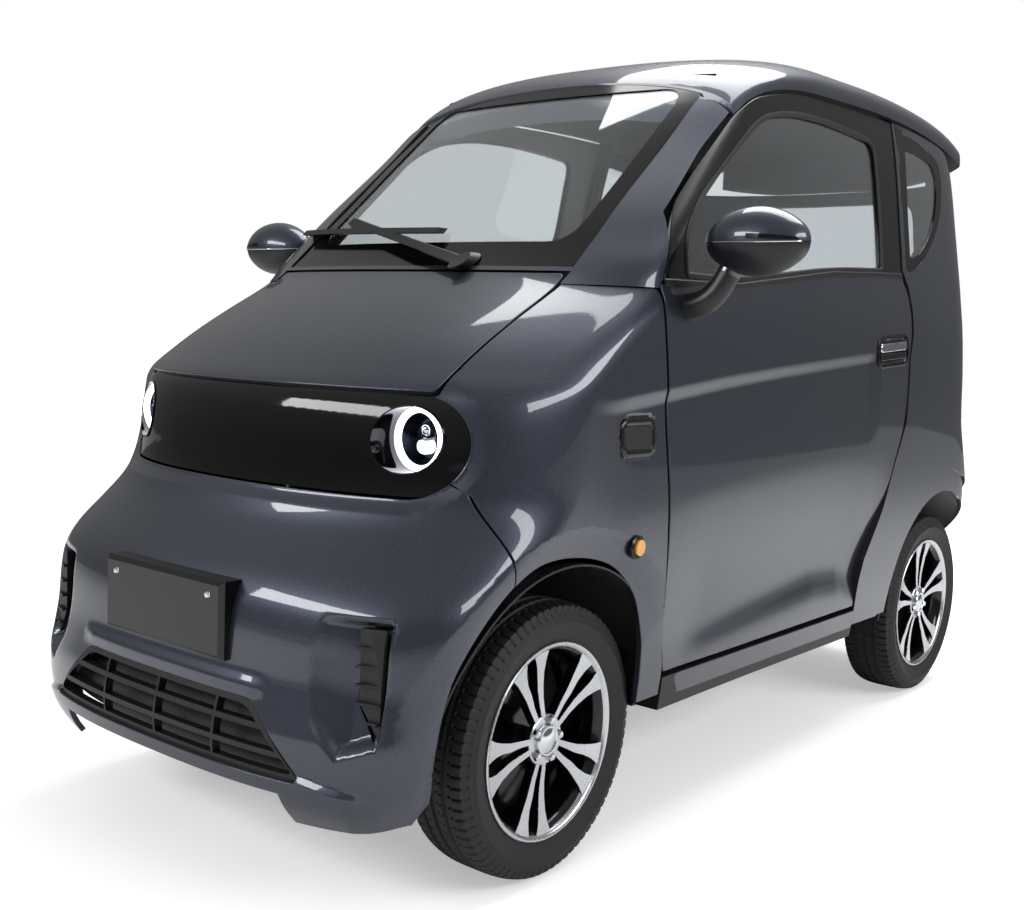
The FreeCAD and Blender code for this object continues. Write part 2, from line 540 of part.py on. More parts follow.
# Side panels behind the doors with their quarter windows
gate_half, gate_low = size("gate_half"), size("gate_low")
gate_top = edge_line[-1][1]
gate_hole = box(-gate_half, gate_half, size("axle_rear") + arch / 2, length + over, gate_low, tall)
tail_in, tail_out = size("tail_lamp_in"), size("tail_lamp_out")
tail_low, tail_top = size("tail_lamp_low"), size("tail_lamp_top")
tail_line = rounded([(tail_in, tail_low), (tail_out, tail_low), (tail_out, tail_top), (tail_in, tail_top)],
                    (tail_out - tail_in) / 2)
tail_hole = prism(tail_line, "y", size("axle_rear") + arch / 2, length + over)
door_space = prism(door_hole, "x", -full, full)
rear_region = box(0, full, door_hole[-1][0], length + over, size("sill_low"), tall).common(below)
rear_cut = box(-full, full, size("bumper_seam"), length + over, 0, size("bumper_top"))
quarter_hole = prism(quarter, "x", 0, full)
side_left = clear(wall.common(rear_region), door_space, gate_hole, tail_hole, rear_cut, arches, tunnel,
                  quarter_hole, rear_fold)
side_left = largest(side_left)
piece("side_panel_left", side_left)
piece("side_panel_right", mirrored(side_left))
pane = glazing.common(quarter_hole)
piece("quarter_glass", Part.makeCompound([pane, mirrored(pane)]))

# Doors with their glass
door_space_inner = prism(door_edge, "x", 0, full)
window_hole = prism(window, "x", 0, full)
handle_half, handle_rise = size("handle_long") / 2, size("handle_tall") / 2
handle_line = [(size("handle_at") + a * handle_half, size("handle_high") + b * handle_rise)
               for a, b in ((-1, -1), (1, -1), (1, 1), (-1, 1))]
handle_space = prism(rounded(handle_line, handle_rise), "x", 0, full)
grip = box(0, full, size("handle_at") - handle_half, size("handle_at") + handle_half,
           size("handle_high") - size("handle_grip") / 2, size("handle_high") + size("handle_grip") / 2)
proud_form = body_form(-size("fitting_rise"))
grip = grip.common(handle_space).common(proud_form).cut(skin_in)
door_below = below.copy()
door_below.translate(V(0, -gap, -gap))
door = wall.common(door_space_inner.common(door_below)).cut(window_hole).cut(recess(handle_space)).fuse(grip)
door = largest(door.removeSplitter())
door_pane = glazing.common(window_hole)
piece("door_left", door)
piece("door_right", mirrored(door))
piece("door_glass_left", door_pane)
piece("door_glass_right", mirrored(door_pane))

# Tailgate with its glass
gate_region = box(-gate_half + gap, gate_half - gap, size("axle_rear") + arch / 2 + gap, length + over,
                  gate_low + gap, gate_top - gap)
gate_window = rounded([(-size("gate_window_half"), size("gate_window_low")),
                       (size("gate_window_half"), size("gate_window_low")),
                       (size("gate_window_half") - over / 2, size("gate_window_top")),
                       (-size("gate_window_half") + over / 2, size("gate_window_top"))], over)
gate_opening = prism(gate_window, "y", size("axle_rear"), length + over)
gate = wall.common(gate_region).cut(gate_opening)
piece("tailgate", largest(gate))
piece("tailgate_glass", glazing.common(gate_opening))

# Tail lamps and rear bumper
tail = wall.common(tail_hole.common(below))
piece("tail_lamps", Part.makeCompound([tail, mirrored(tail)]))
rear_space = rear_cut.common(box(-full, full, 0, length + over, size("sill_low") - over, tall))
rear_bumper = clear(skin.common(rear_space), arches, tunnel, rear_fold, mirrored(rear_fold))
piece("rear_bumper", largest(rear_bumper))

# Tyres and rims, each turned about its own axle


def ring_body(name, outline, place, flip):
    """A turned piece: its outline is (place along the axle, distance from the axle)."""
    body = doc.addObject("PartDesign::Body", name)
    body.Label = name
    sketch = body.newObject("Sketcher::SketchObject", name + "_outline")
    plane = [f for f in body.Origin.OriginFeatures if f.Role == "XY_Plane"][0]
    sketch.AttachmentSupport = [(plane, "")]
    sketch.MapMode = "FlatFace"
    corners = [V(a, b, 0) for a, b in outline]
    for k in range(len(corners)):
        sketch.addGeometry(Part.LineSegment(corners[k], corners[(k + 1) % len(corners)]))
    turn = body.newObject("PartDesign::Revolution", name + "_turned")
    turn.Profile = sketch
    turn.ReferenceAxis = (sketch, ["H_Axis"])
    turn.Angle = 360
    body.Placement = FreeCAD.Placement(place, FreeCAD.Rotation(V(0, 0, 1), 180 if flip else 0))
    pieces.append(body)
    return body


def tyre_outline():
    """Half section of the tyre: bead, sidewall, widest place and tread."""
    r, w = size("tyre_round"), size("tread_wide") / 2
    bead, out = size("bead_wide") / 2, size("tyre_wide") / 2
    return [(-bead, size("bead_round")), (-out, size("bulge_round")), (-w, r), (w, r),
            (out, size("bulge_round")), (bead, size("bead_round"))]


def rim_shape():
    """Alloy rim about its own axle, its face towards +X."""
    lip, edge, barrel = size("lip_round"), size("lip_edge"), size("barrel_round")
    w, thick, bead = size("lip_wide") / 2, size("barrel_thick"), size("bead_round") - size("seat_clearance")
    bead_half = size("bead_wide") / 2 + size("seat_clearance")
    lean = (size("tyre_wide") - size("bead_wide")) / 2 / (size("bulge_round") - size("bead_round"))
    flare = bead_half + (lip - bead) * lean
    outline = [(-w, lip - edge), (-w, lip), (-flare, lip), (-bead_half, bead), (-bead_half + edge, bead),
               (-bead_half + edge * 3, barrel), (bead_half - edge * 3, barrel), (bead_half - edge, bead),
               (bead_half, bead), (flare, lip), (w, lip), (w, lip - edge), (bead_half, bead - thick),
               (bead_half - edge * 3, barrel - thick), (-bead_half + edge * 3, barrel - thick),
               (-bead_half, bead - thick)]
    ring = Part.Face(Part.makePolygon([V(a, b, 0) for a, b in outline + outline[:1]]))
    ring = ring.revolve(V(0, 0, 0), V(1, 0, 0), 360)
    face = size("spoke_out")
    hub = Part.makeCylinder(size("hub_round"), size("hub_deep"), V(face - size("hub_deep"), 0, 0), V(1, 0, 0))
    cap = Part.makeCylinder(size("cap_round"), size("cap_rise"), V(face, 0, 0), V(1, 0, 0))
    rim = ring.fuse(hub.fuse(cap))
    root, tip, space = size("spoke_root"), size("spoke_tip"), size("spoke_gap")
    reach = barrel - thick / 2
    for k in range(5):
        for hand in (-1, 1):
            flat = [(hand * root / 3, size("hub_round") - edge), (hand * (root / 3 + root), size("hub_round") - edge),
                    (hand * (space + tip) , reach), (hand * space, reach)]
            blade = prism(flat, "x", face - size("spoke_thick"), face - edge)
            blade.rotate(V(0, 0, 0), V(1, 0, 0), 72 * k)
            rim = rim.fuse(blade)
    bore = Part.makeCylinder(size("spindle_round") + size("spindle_clearance"),
                             size("hub_deep") - size("spoke_thick"),
                             V(face - size("hub_deep"), 0, 0), V(1, 0, 0))
    return rim.cut(bore).removeSplitter()


rim_base = rim_shape()
for end, along in (("front", front_axle), ("rear", rear_axle)):
    for hand, side in (("left", 1), ("right", -1)):
        middle = V(side * size("wheel_out"), along, wheel_high)
        ring_body("tyre_%s_%s" % (end, hand), tyre_outline(), middle, side < 0)
        piece("rim_%s_%s" % (end, hand), rim_base, middle, 0 if side > 0 else 180)

# Knuckles with their spindles, turning on the kingpins
face = size("wheel_out") + size("spoke_out")
spindle_end = face - size("spoke_thick") - gap
hub_back = face - size("hub_deep")
pin_out = size("kingpin_out")
knuckle = box(pin_out - size("knuckle_wide") / 2, pin_out + size("knuckle_wide") / 2,
              front_axle - size("knuckle_long") / 2, front_axle + size("knuckle_long") / 2,
              wheel_high - size("knuckle_tall") / 2, wheel_high + size("knuckle_tall") / 2)
spindle = rod(V(pin_out, front_axle, wheel_high), V(spindle_end, front_axle, wheel_high), size("spindle_round"))
pin_hole = rod(V(pin_out, front_axle, 0), V(pin_out, front_axle, tall),
               size("kingpin_round") + size("spindle_clearance"))
knuckle = knuckle.cut(pin_hole).fuse(spindle.cut(pin_hole))
piece("knuckle_left", knuckle)
piece("knuckle_right", mirrored(knuckle))

# Frame rails, cross members and the floor
rail_low, rail_top = size("rail_low"), size("rail_low") + size("rail_tall")
rail_out, rail_half = size("rail_out"), size("rail_wide") / 2
frame = box(rail_out - rail_half, rail_out + rail_half, -size("rail_front"), size("rail_rear"), rail_low, rail_top)
frame = frame.fuse(mirrored(frame))
for along in (-size("rail_front"), -size("fire_wall") + over, size("deck_front") - over,
              size("rail_rear") - size("cross_long")):
    frame = frame.fuse(box(-rail_out, rail_out, along, along + size("cross_long"), rail_low, rail_top))
piece("chassis_frame", frame.removeSplitter())

# Front suspension: upper and lower arms that hold the kingpins
arm_low = wheel_high - size("knuckle_tall") / 2 - gap
arm_top = wheel_high + size("knuckle_tall") / 2 + gap
arms = None
for level, thick in ((arm_low, -size("kingpin_round")), (arm_top, size("kingpin_round"))):
    low, high = min(level, level + thick), max(level, level + thick)
    flat = [(0, front_axle - size("knuckle_long")), (0, front_axle + size("knuckle_long")),
            (pin_out + size("kingpin_round"), front_axle + size("kingpin_round") * 1.5),
            (pin_out + size("kingpin_round"), front_axle - size("kingpin_round") * 1.5)]
    arm = prism(flat, "z", low, high)
    arms = arm if arms is None else arms.fuse(arm)
kingpin = rod(V(pin_out, front_axle, arm_low - size("kingpin_round")),
              V(pin_out, front_axle, arm_top + size("kingpin_round")), size("kingpin_round"))
tower = box(rail_out - rail_half, rail_out + rail_half, front_axle - size("knuckle_long") / 2,
            front_axle + size("knuckle_long") / 2, rail_top, arm_top)
low_link = box(rail_out - rail_half, rail_out + rail_half, front_axle - size("knuckle_long") / 2,
               front_axle + size("knuckle_long") / 2, arm_low - size("kingpin_round"), rail_low)
arms = arms.fuse(kingpin).fuse(tower).fuse(low_link)
suspension = arms.fuse(mirrored(arms)).cut(frame).removeSplitter()
piece("front_suspension", suspension)

# Rear axle tube with spindles, and the blocks of the motor and the battery
axle = rod(V(-hub_back + gap, rear_axle, wheel_high), V(hub_back - gap, rear_axle, wheel_high), size("axle_tube"))
axle = axle.fuse(rod(V(-spindle_end, rear_axle, wheel_high), V(spindle_end, rear_axle, wheel_high),
                     size("spindle_round")))
motor = rod(V(-size("motor_wide") / 2, rear_axle, wheel_high), V(size("motor_wide") / 2, rear_axle, wheel_high),
            size("motor_round"))
piece("rear_axle", axle.cut(motor).cut(frame))
battery = box(-size("battery_wide") / 2, size("battery_wide") / 2,
              size("battery_mid") - size("battery_long") / 2, size("battery_mid") + size("battery_long") / 2,
              rail_top - size("battery_tall") + size("floor_thick"), rail_top)
piece("drive_blocks", Part.makeCompound([motor.cut(frame), battery.cut(frame)]))

# Floor with firewall, wheel wells and luggage deck
thick = size("floor_thick")
floor_out = size("floor_out")
floor = box(-floor_out, floor_out, -size("fire_wall") + over, size("deck_front"), rail_top, rail_top + thick)
well_in = size("front_well_in")
floor = floor.fuse(box(-well_in + thick, well_in - thick, -size("rail_front"), -size("fire_wall") + over,
                       rail_top, rail_top + thick))
fire_half = size("fire_half")
step = box(-fire_half, fire_half, -size("fire_wall") + over, -size("fire_wall") + over + thick, rail_top,
           size("wall_top"))
floor = floor.fuse(step)
floor = floor.fuse(box(-floor_out, floor_out, size("deck_front"), size("deck_front") + thick, rail_top,
                       size("rear_deck") + over))
floor = floor.fuse(box(-floor_out, floor_out, size("deck_front"), size("rail_rear"), size("rear_deck") + over - thick,
                       size("rear_deck") + over))
floor = floor.common(body_form(size("wall_thick") + gap))
sill = box(floor_out - size("sill_wide") / 2, half - thick, door_hole[0][0], door_hole[-1][0], rail_top,
           size("sill_top"))
floor = floor.fuse(sill).fuse(mirrored(sill)).common(outer).cut(suspension)
base = box(-size("seat_wide") / 3, size("seat_wide") / 3, size("seat_at") - size("seat_long") / 3,
           size("seat_at") + size("seat_long") / 3, rail_top, size("seat_high") - size("seat_thick"))
for hand in (-1, 1):
    rack = base.copy()
    rack.translate(V(hand * size("seat_out"), 0, 0))
    floor = floor.fuse(rack)
floor = largest(floor.removeSplitter())
piece("floor_pan", floor)

# Wheel liners
liners = []
for along, inside in ((front_axle, size("front_well_in")), (rear_axle, size("rear_well_in"))):
    ring = rod(V(inside, along, wheel_high), V(full, along, wheel_high), arch)
    ring = ring.cut(rod(V(inside + thick, along, wheel_high), V(full, along, wheel_high),
                        arch - size("liner_thick")))
    ring = ring.cut(box(0, full, along - arch, along + arch, 0, wheel_high)).common(skin_in)
    hole = rod(V(0, rear_axle, wheel_high), V(full, rear_axle, wheel_high), size("axle_tube") + gap)
    slot = box(0, full, front_axle - size("knuckle_long") - gap, front_axle + size("knuckle_long") + gap, 0,
               arm_top + size("kingpin_round") + gap)
    ring = largest(clear(ring, hole, slot, floor))
    liners += [ring, mirrored(ring)]
piece("wheel_liners", Part.makeCompound(liners))

# Mirrors: a lens of three arcs turned about its long axis, flat at the back, on a bent arm
arm_foot = V(size("mirror_foot_out"), -size("mirror_foot_at"), size("mirror_foot_high"))
arm_elbow = V(size("mirror_elbow_out"), -size("mirror_foot_at"), size("mirror_elbow_high"))
arm_neck = V(size("mirror_neck_out"), -size("mirror_at"), size("mirror_neck_high"))
mirror_mid = V(size("mirror_out"), -size("mirror_at"), size("mirror_high"))
pod_wide, pod_tall, pod_end = size("mirror_half_wide"), size("mirror_half_tall"), size("mirror_end_round")
end_mid = pod_wide - pod_end
pod_round = (end_mid ** 2 + pod_tall ** 2 - pod_end ** 2) / (2 * (pod_tall - pod_end))
meet = V(end_mid, pod_round - pod_tall, 0) * (pod_round / (pod_round - pod_end)) - V(0, pod_round - pod_tall, 0)
turn = math.atan2(meet.y, meet.x - end_mid) / 2
bend = V(end_mid + pod_end * math.cos(turn), pod_end * math.sin(turn), 0)
pod_edges = [Part.Arc(V(pod_wide, 0, 0), bend, meet), Part.Arc(meet, V(0, pod_tall, 0), V(-meet.x, meet.y, 0)),
             Part.Arc(V(-meet.x, meet.y, 0), V(-bend.x, bend.y, 0), V(-pod_wide, 0, 0))]
pod_line = Part.Wire([edge.toShape() for edge in pod_edges]
                     + [Part.makeLine(V(-pod_wide, 0, 0), V(pod_wide, 0, 0))])
pod = Part.Face(pod_line).revolve(V(0, 0, 0), V(1, 0, 0), 360)
pod.translate(mirror_mid)
pod = pod.cut(box(0, full * 2, mirror_mid.y + size("mirror_back"), 0, 0, tall))
stem = rod(arm_foot, arm_elbow, size("mirror_arm")).fuse(Part.makeSphere(size("mirror_arm"), arm_elbow))
stem = stem.fuse(rod(arm_elbow, arm_neck, size("mirror_arm")))
mirror = largest(pod.fuse(stem).cut(outer).removeSplitter())
piece("mirror_left", mirror)
piece("mirror_right", mirrored(mirror))

# Wiper: arm and blade are strips that follow the windscreen
lift, arm_half, blade_half = size("wiper_lift"), size("wiper_thick"), size("blade_thick")


def strip(start, end, wide, layer):
    """Strip between two places of the front view, cut out of a layer over the windscreen."""
    a, b = V(start[0], 0, start[1]), V(end[0], 0, end[1])
    way = (b - a).normalize()
    side = V(-way.z, 0, way.x) * wide
    flat = [(p.x, p.z) for p in (a - side, b - side, b + side, a + side)]
    return prism(flat, "y", -length, 0).common(layer)


pivot_at = (size("wiper_out"), size("wiper_high"))
arm_tip = (-size("wiper_tip_out"), size("wiper_tip_high"))
blade_ends = ((size("blade_in"), size("blade_in_high")), (-size("blade_out"), size("blade_out_high")))
blade_mid = ((blade_ends[0][0] + blade_ends[1][0]) / 2, (blade_ends[0][1] + blade_ends[1][1]) / 2)
over_arm, under_arm = body_form(-lift), body_form(arm_half - lift)
arm_layer = over_arm.cut(under_arm)
blade_layer = over_arm.cut(body_form(-size("seat_clearance")))
wiper = strip(pivot_at, arm_tip, arm_half, arm_layer)
wiper = wiper.fuse(strip(arm_tip, blade_mid, arm_half, arm_layer))
wiper = wiper.fuse(strip(blade_ends[0], blade_ends[1], blade_half, blade_layer))
hub = rod(V(pivot_at[0], -length, pivot_at[1]), V(pivot_at[0], 0, pivot_at[1]), size("wiper_round"))
hub = hub.common(over_arm).cut(outer)
hub = min(hub.Solids, key=lambda s: s.CenterOfMass.y)
piece("wiper", largest(wiper.fuse(hub).removeSplitter()))

# Seats: a cushion and a back with head rest on each side
seats = []
wide, long_, deep = size("seat_wide") / 2, size("seat_long") / 2, size("seat_thick")
high, at, soft = size("seat_high"), size("seat_at"), size("seat_round")
back_top = size("back_tall") + size("rest_tall")
for hand in (1, -1):
    mid = hand * size("seat_out")
    cushion = rounded([(at - long_, high - deep), (at + long_, high - deep), (at + long_, high), (at - long_, high)],
                      soft)
    seats.append(prism(cushion, "x", mid - wide, mid + wide))
    front = rounded([(mid - wide, 0), (mid + wide, 0), (mid + wide, size("back_tall")),
                     (mid + size("rest_wide") / 2, back_top), (mid - size("rest_wide") / 2, back_top),
                     (mid - wide, size("back_tall"))], soft)
    back = prism(front, "y", 0, size("back_thick"))
    back.rotate(V(0, 0, 0), V(1, 0, 0), -size("back_lean"))
    back.translate(V(0, at + long_ + gap, high - deep / 2))
    seats.append(back)
piece("seats", Part.makeCompound(seats))

# Dashboard, steering column and wheel
dash_line = [(-size("dash_front") + over * 1.4, size("dash_low")), (-size("dash_rear") - over, size("dash_low")),
             (-size("dash_rear"), size("wall_top") - over), (-size("dash_rear") - over / 2, size("dash_top") - over / 2),
             (-size("dash_front"), size("dash_top")), (-size("dash_front"), size("wall_top"))]
lean = math.radians(size("column_lean"))
axis = V(0, -math.cos(lean), -math.sin(lean))
centre = V(size("column_out"), -size("column_at"), size("column_high"))
dash = prism(dash_line, "x", -size("dash_half"), size("dash_half")).common(body_form(size("wall_thick") + gap))
column_hole = Part.makeCylinder(size("column_round") + gap, size("column_long") + gap, centre, axis)
piece("dashboard", largest(clear(dash, floor, column_hole)))
ring = Part.makeTorus(size("wheel_ring"), size("ring_thick"), centre, axis)
boss = Part.makeCylinder(size("boss_round"), size("ring_thick") * 2, centre - axis * size("ring_thick"), axis)
shaft = Part.makeCylinder(size("column_round"), size("column_long"), centre, axis)
spokes = None
for turn in (90, 210, 330):
    blade = Part.makeBox(size("wheel_ring") + size("ring_thick") / 2, size("ring_thick") * 2, size("ring_thick"),
                         V(0, -size("ring_thick"), -size("ring_thick") / 2))
    blade.rotate(V(0, 0, 0), V(0, 0, 1), turn)
    blade.rotate(V(0, 0, 0), V(1, 0, 0), 90 + size("column_lean"))
    blade.translate(centre)
    spokes = blade if spokes is None else spokes.fuse(blade)
wheel = ring.fuse(boss).fuse(spokes).fuse(shaft)
piece("steering_wheel", wheel.removeSplitter())

# Small fittings of the sides
markers = []
marker = rod(V(0, -size("marker_at"), size("marker_high")), V(full, -size("marker_at"), size("marker_high")),
             size("marker_round"))
marker = marker.common(proud_form).cut(outer)
marker = max(marker.Solids, key=lambda s: s.CenterOfMass.x)
piece("side_markers", Part.makeCompound([marker, mirrored(marker)]))

doc.recompute()
problems = []
for thing in doc.Objects:
    if "Invalid" in thing.State or "Error" in thing.State:
        problems.append("%s: %s" % (thing.Name, thing.State))
for thing in pieces:
    if thing.Shape.isNull() or not thing.Shape.isValid() or not thing.Shape.Solids:
        problems.append("%s: bad shape" % thing.Label)
if problems:
    raise RuntimeError("; ".join(problems))
os.makedirs("parts", exist_ok=True)
for thing in pieces:
    thing.Shape.exportStep("parts/%s.step" % thing.Label)
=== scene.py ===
import bpy
import numpy as np
from mathutils import Matrix
from mathutils.geometry import delaunay_2d_cdt


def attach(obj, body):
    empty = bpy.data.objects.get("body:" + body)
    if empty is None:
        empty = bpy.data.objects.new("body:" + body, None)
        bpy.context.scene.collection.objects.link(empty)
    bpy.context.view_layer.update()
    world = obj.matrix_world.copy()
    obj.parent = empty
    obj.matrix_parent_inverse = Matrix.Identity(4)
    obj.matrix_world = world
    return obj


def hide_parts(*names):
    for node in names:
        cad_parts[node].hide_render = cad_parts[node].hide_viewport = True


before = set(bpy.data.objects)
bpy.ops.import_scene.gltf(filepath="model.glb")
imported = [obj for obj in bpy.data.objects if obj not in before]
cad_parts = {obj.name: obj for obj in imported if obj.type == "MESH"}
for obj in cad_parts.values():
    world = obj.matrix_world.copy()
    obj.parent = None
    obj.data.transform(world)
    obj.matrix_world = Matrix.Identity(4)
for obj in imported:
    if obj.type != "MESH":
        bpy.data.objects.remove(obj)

scene = bpy.context.scene
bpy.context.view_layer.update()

# Camera
# A long lens at the height of the mirrors, in front of the car and to its left,
# turned a little about its own line of sight as the photographer held it.
AROUND, ABOVE, ROLL = np.radians((40.13, 5.61, 2.19))
EYE = (1.8063, -2.5532, 0.9805)
FILM_WIDE, LENS_LONG, NEAREST = 36.0, 44.19, 0.1
SHIFT_ACROSS, SHIFT_UP = 0.0291, -0.0057
back = np.array((np.sin(AROUND) * np.cos(ABOVE), -np.cos(AROUND) * np.cos(ABOVE), np.sin(ABOVE)))
across = np.array((np.cos(AROUND), np.sin(AROUND), 0.0))
above = np.cross(back, across)
turned = np.cos(ROLL) * across + np.sin(ROLL) * above
upright = np.cos(ROLL) * above - np.sin(ROLL) * across
lens = bpy.data.cameras.new("camera")
lens.sensor_width, lens.lens, lens.clip_start = FILM_WIDE, LENS_LONG, NEAREST
lens.shift_x, lens.shift_y = SHIFT_ACROSS, SHIFT_UP
camera = bpy.data.objects.new("camera", lens)


def stand(thing, place, *axes):
    """Puts an object at a place with its three axes along the given directions."""
    thing.matrix_world = Matrix([[*row, 0.0] for row in np.stack(axes, 1)] + [[0, 0, 0, 1]])
    thing.matrix_world.translation = place
    scene.collection.objects.link(thing)


stand(camera, EYE, turned, upright, back)
scene.camera = camera
scene.view_settings.view_transform = "Standard"


# Studio
# A pale painted floor that shows white to the lens and keeps the soft shadow of the car, under a wide
# cloth light, with a narrower one beside the car and one before it. All round it the lens sees white.
def linear(code, alpha=1.0):
    """Hex colour of the screen turned to linear light: the power 2.4 law above its straight foot."""
    c = np.array([int(code[i:i + 2], 16) for i in (0, 2, 4)]) / 255
    c = np.where(c > 0.04045, ((c + 0.055) / 1.055) ** 2.4, c / 12.92)
    return (*c, alpha)


def node(tree, kind, links=(), **settings):
    """Adds one shader node: settings are its own, and links pair its inputs with values or other sockets."""
    made = tree.nodes.new(kind)
    for key, value in settings.items():
        setattr(made, key, value)
    for socket, value in links:
        if isinstance(value, bpy.types.NodeSocket):
            tree.links.new(value, made.inputs[socket])
        else:
            made.inputs[socket].default_value = value
    return made


def finish(name, **sockets):
    """A new material, its nodes and its shader, whose sockets are set by name with spaces as underscores."""
    material = bpy.data.materials.new(name)
    material.use_nodes = True
    shader = material.node_tree.nodes["Principled BSDF"]
    for key, value in sockets.items():
        shader.inputs[key.replace("_", " ")].default_value = value
    return material, material.node_tree, shader


def seen_by_lens(tree):
    """1 for what the lens sees itself or through glass, 0 for what only lights the car."""
    path = node(tree, "ShaderNodeLightPath")
    either = ((0, path.outputs["Is Camera Ray"]), (1, path.outputs["Is Transmission Ray"]))
    return node(tree, "ShaderNodeMath", either, operation="MAXIMUM").outputs[0]


WHITE = linear("FFFFFF")
FLOOR_REACH, GLOW_NEAR, GLOW_FAR, GLOW_LOW = 14.0, 1.5, 4.5, 0.42
floor_paint, tree, shader = finish("floor_paint", Base_Color=linear("F6F6F6"), Roughness=1.0,
                                   Specular_IOR_Level=0.0, Emission_Color=WHITE)
place = node(tree, "ShaderNodeTexCoord")
away = node(tree, "ShaderNodeVectorMath", ((0, place.outputs["Object"]),), operation="LENGTH")
brightness = node(tree, "ShaderNodeMapRange", ((0, away.outputs["Value"]), (1, GLOW_NEAR), (2, GLOW_FAR),
                                               (3, GLOW_LOW), (4, 1.0)), interpolation_type="SMOOTHSTEP")
shown = node(tree, "ShaderNodeMath", ((0, seen_by_lens(tree)), (1, brightness.outputs[0])),
             operation="MULTIPLY")
tree.links.new(shown.outputs[0], shader.inputs["Emission Strength"])
ground = bpy.data.meshes.new("studio_floor")
corners = ((-1, -1), (1, -1), (1, 1), (-1, 1))
ground.from_pydata([(a * FLOOR_REACH, b * FLOOR_REACH, 0) for a, b in corners], [], [(0, 1, 2, 3)])
ground.materials.append(floor_paint)
studio_floor = bpy.data.objects.new("studio_floor", ground)
scene.collection.objects.link(studio_floor)

SKY_DARK, SKY_LIGHT = 0.10, 0.42
world = bpy.data.worlds.new("studio")
world.use_nodes = True
scene.world = world
tree = world.node_tree
air = tree.nodes["Background"]
air.inputs["Color"].default_value = WHITE
sky = node(tree, "ShaderNodeTexCoord")
ways = node(tree, "ShaderNodeSeparateXYZ", ((0, sky.outputs["Generated"]),))
soft = node(tree, "ShaderNodeMapRange", ((0, ways.outputs["Z"]), (1, -0.1), (2, 0.8), (3, SKY_DARK),
                                         (4, SKY_LIGHT)))
strength = node(tree, "ShaderNodeMix", ((0, seen_by_lens(tree)), (2, soft.outputs[0]), (3, 1.0)))
tree.links.new(strength.outputs[0], air.inputs["Strength"])


def soft_lamp(name, place, aim, wide, long, power):
    """A rectangular cloth light at a place, facing a point."""
    lamp = bpy.data.lights.new(name, "AREA")
    lamp.shape = "RECTANGLE"
    lamp.size, lamp.size_y, lamp.energy = wide, long, power
    way = np.array(place, float) - np.array(aim, float)
    way /= np.linalg.norm(way)
    side = np.cross((0, 1, 0) if abs(way[2]) > 0.9 else (0, 0, 1), way)
    side /= np.linalg.norm(side)
    stand(bpy.data.objects.new(name, lamp), place, side, np.cross(way, side), way)


soft_lamp("lamp_above", (0.0, 1.7, 4.2), (0, 0.4, 0), 3.4, 2.6, 150)
soft_lamp("lamp_left", (4.5, 0.6, 2.8), (0, 0, 0.8), 4.4, 1.0, 110)
soft_lamp("lamp_front", (-1.2, -5.0, 2.9), (0, 0, 0.6), 3.8, 1.0, 130)


# Body form
# The car's skin is one smooth shell: at each height a rounded rectangle whose front, rear and
# sides follow the lines of the side and plan views. Panels of it are cut from this form.
NOSE = ((0.150, -1.225), (0.205, -1.262), (0.260, -1.274), (0.300, -1.274), (0.350, -1.263), (0.400, -1.253),
        (0.470, -1.248), (0.510, -1.241), (0.550, -1.221), (0.600, -1.180), (0.650, -1.146), (0.700, -1.131),
        (0.780, -1.124), (0.830, -1.115), (0.866, -1.098), (0.900, -1.052), (0.940, -0.990), (1.000, -0.880),
        (1.050, -0.778), (1.087, -0.703), (1.200, -0.571), (1.300, -0.457), (1.400, -0.343), (1.500, -0.229),
        (1.545, -0.178))
TAIL = ((0.150, 1.222), (0.205, 1.256), (0.300, 1.278), (0.450, 1.280), (0.560, 1.276), (0.640, 1.262),
        (0.750, 1.254), (0.900, 1.248), (1.100, 1.242), (1.300, 1.240), (1.450, 1.238), (1.545, 1.225))
HALF_WIDTH = ((0.150, 0.508), (0.250, 0.535), (0.400, 0.549), (0.600, 0.556), (0.850, 0.553), (1.000, 0.545),
              (1.100, 0.533), (1.200, 0.518), (1.300, 0.502), (1.400, 0.486), (1.500, 0.466), (1.545, 0.455))
FRONT_CORNER = ((0.150, 0.215), (0.400, 0.228), (0.500, 0.240), (0.600, 0.285), (0.700, 0.333),
                (0.866, 0.333), (1.000, 0.300), (1.060, 0.262), (1.100, 0.165), (1.300, 0.145),
                (1.545, 0.125))
REAR_CORNER = ((0.150, 0.210), (0.600, 0.230), (0.800, 0.300), (1.545, 0.300))
FRONT_SQUARE = ((0.150, 2.6), (0.500, 2.6), (0.700, 2.2), (1.545, 2.2))
REAR_SQUARE = 2.6
HEIGHTS = np.arange(0.100, 1.600, 0.001)
RELAX, BELL_REACH = 0.011, 40


def fair(table):
    """A monotone cubic through the table, on every millimetre of height, relaxed by a bell-shaped average."""
    x, y = np.array(table).T
    step, rise = np.diff(x), np.diff(y) / np.diff(x)
    lean = np.concatenate((rise[:1], np.zeros(len(x) - 2), rise[-1:]))
    same = rise[:-1] * rise[1:] > 0
    a, b = 2 * step[1:] + step[:-1], step[1:] + 2 * step[:-1]
    safe_low, safe_high = np.where(same, rise[:-1], 1), np.where(same, rise[1:], 1)
    lean[1:-1] = np.where(same, (a + b) / (a / safe_low + b / safe_high), 0)
    h = np.clip(HEIGHTS, x[0], x[-1])
    i = np.clip(np.searchsorted(x, h, side="right") - 1, 0, len(x) - 2)
    t, s = (h - x[i]) / step[i], step[i]
    curve = (2 * t ** 3 - 3 * t ** 2 + 1) * y[i] + (t ** 3 - 2 * t ** 2 + t) * s * lean[i]
    curve += (3 * t ** 2 - 2 * t ** 3) * y[i + 1] + (t ** 3 - t ** 2) * s * lean[i + 1]
    reach = np.arange(-BELL_REACH, BELL_REACH + 1) / 1000
    bell = np.exp(-0.5 * (reach / RELAX) ** 2)
    return np.convolve(np.pad(curve, BELL_REACH, mode="edge"), bell / bell.sum(), "valid")


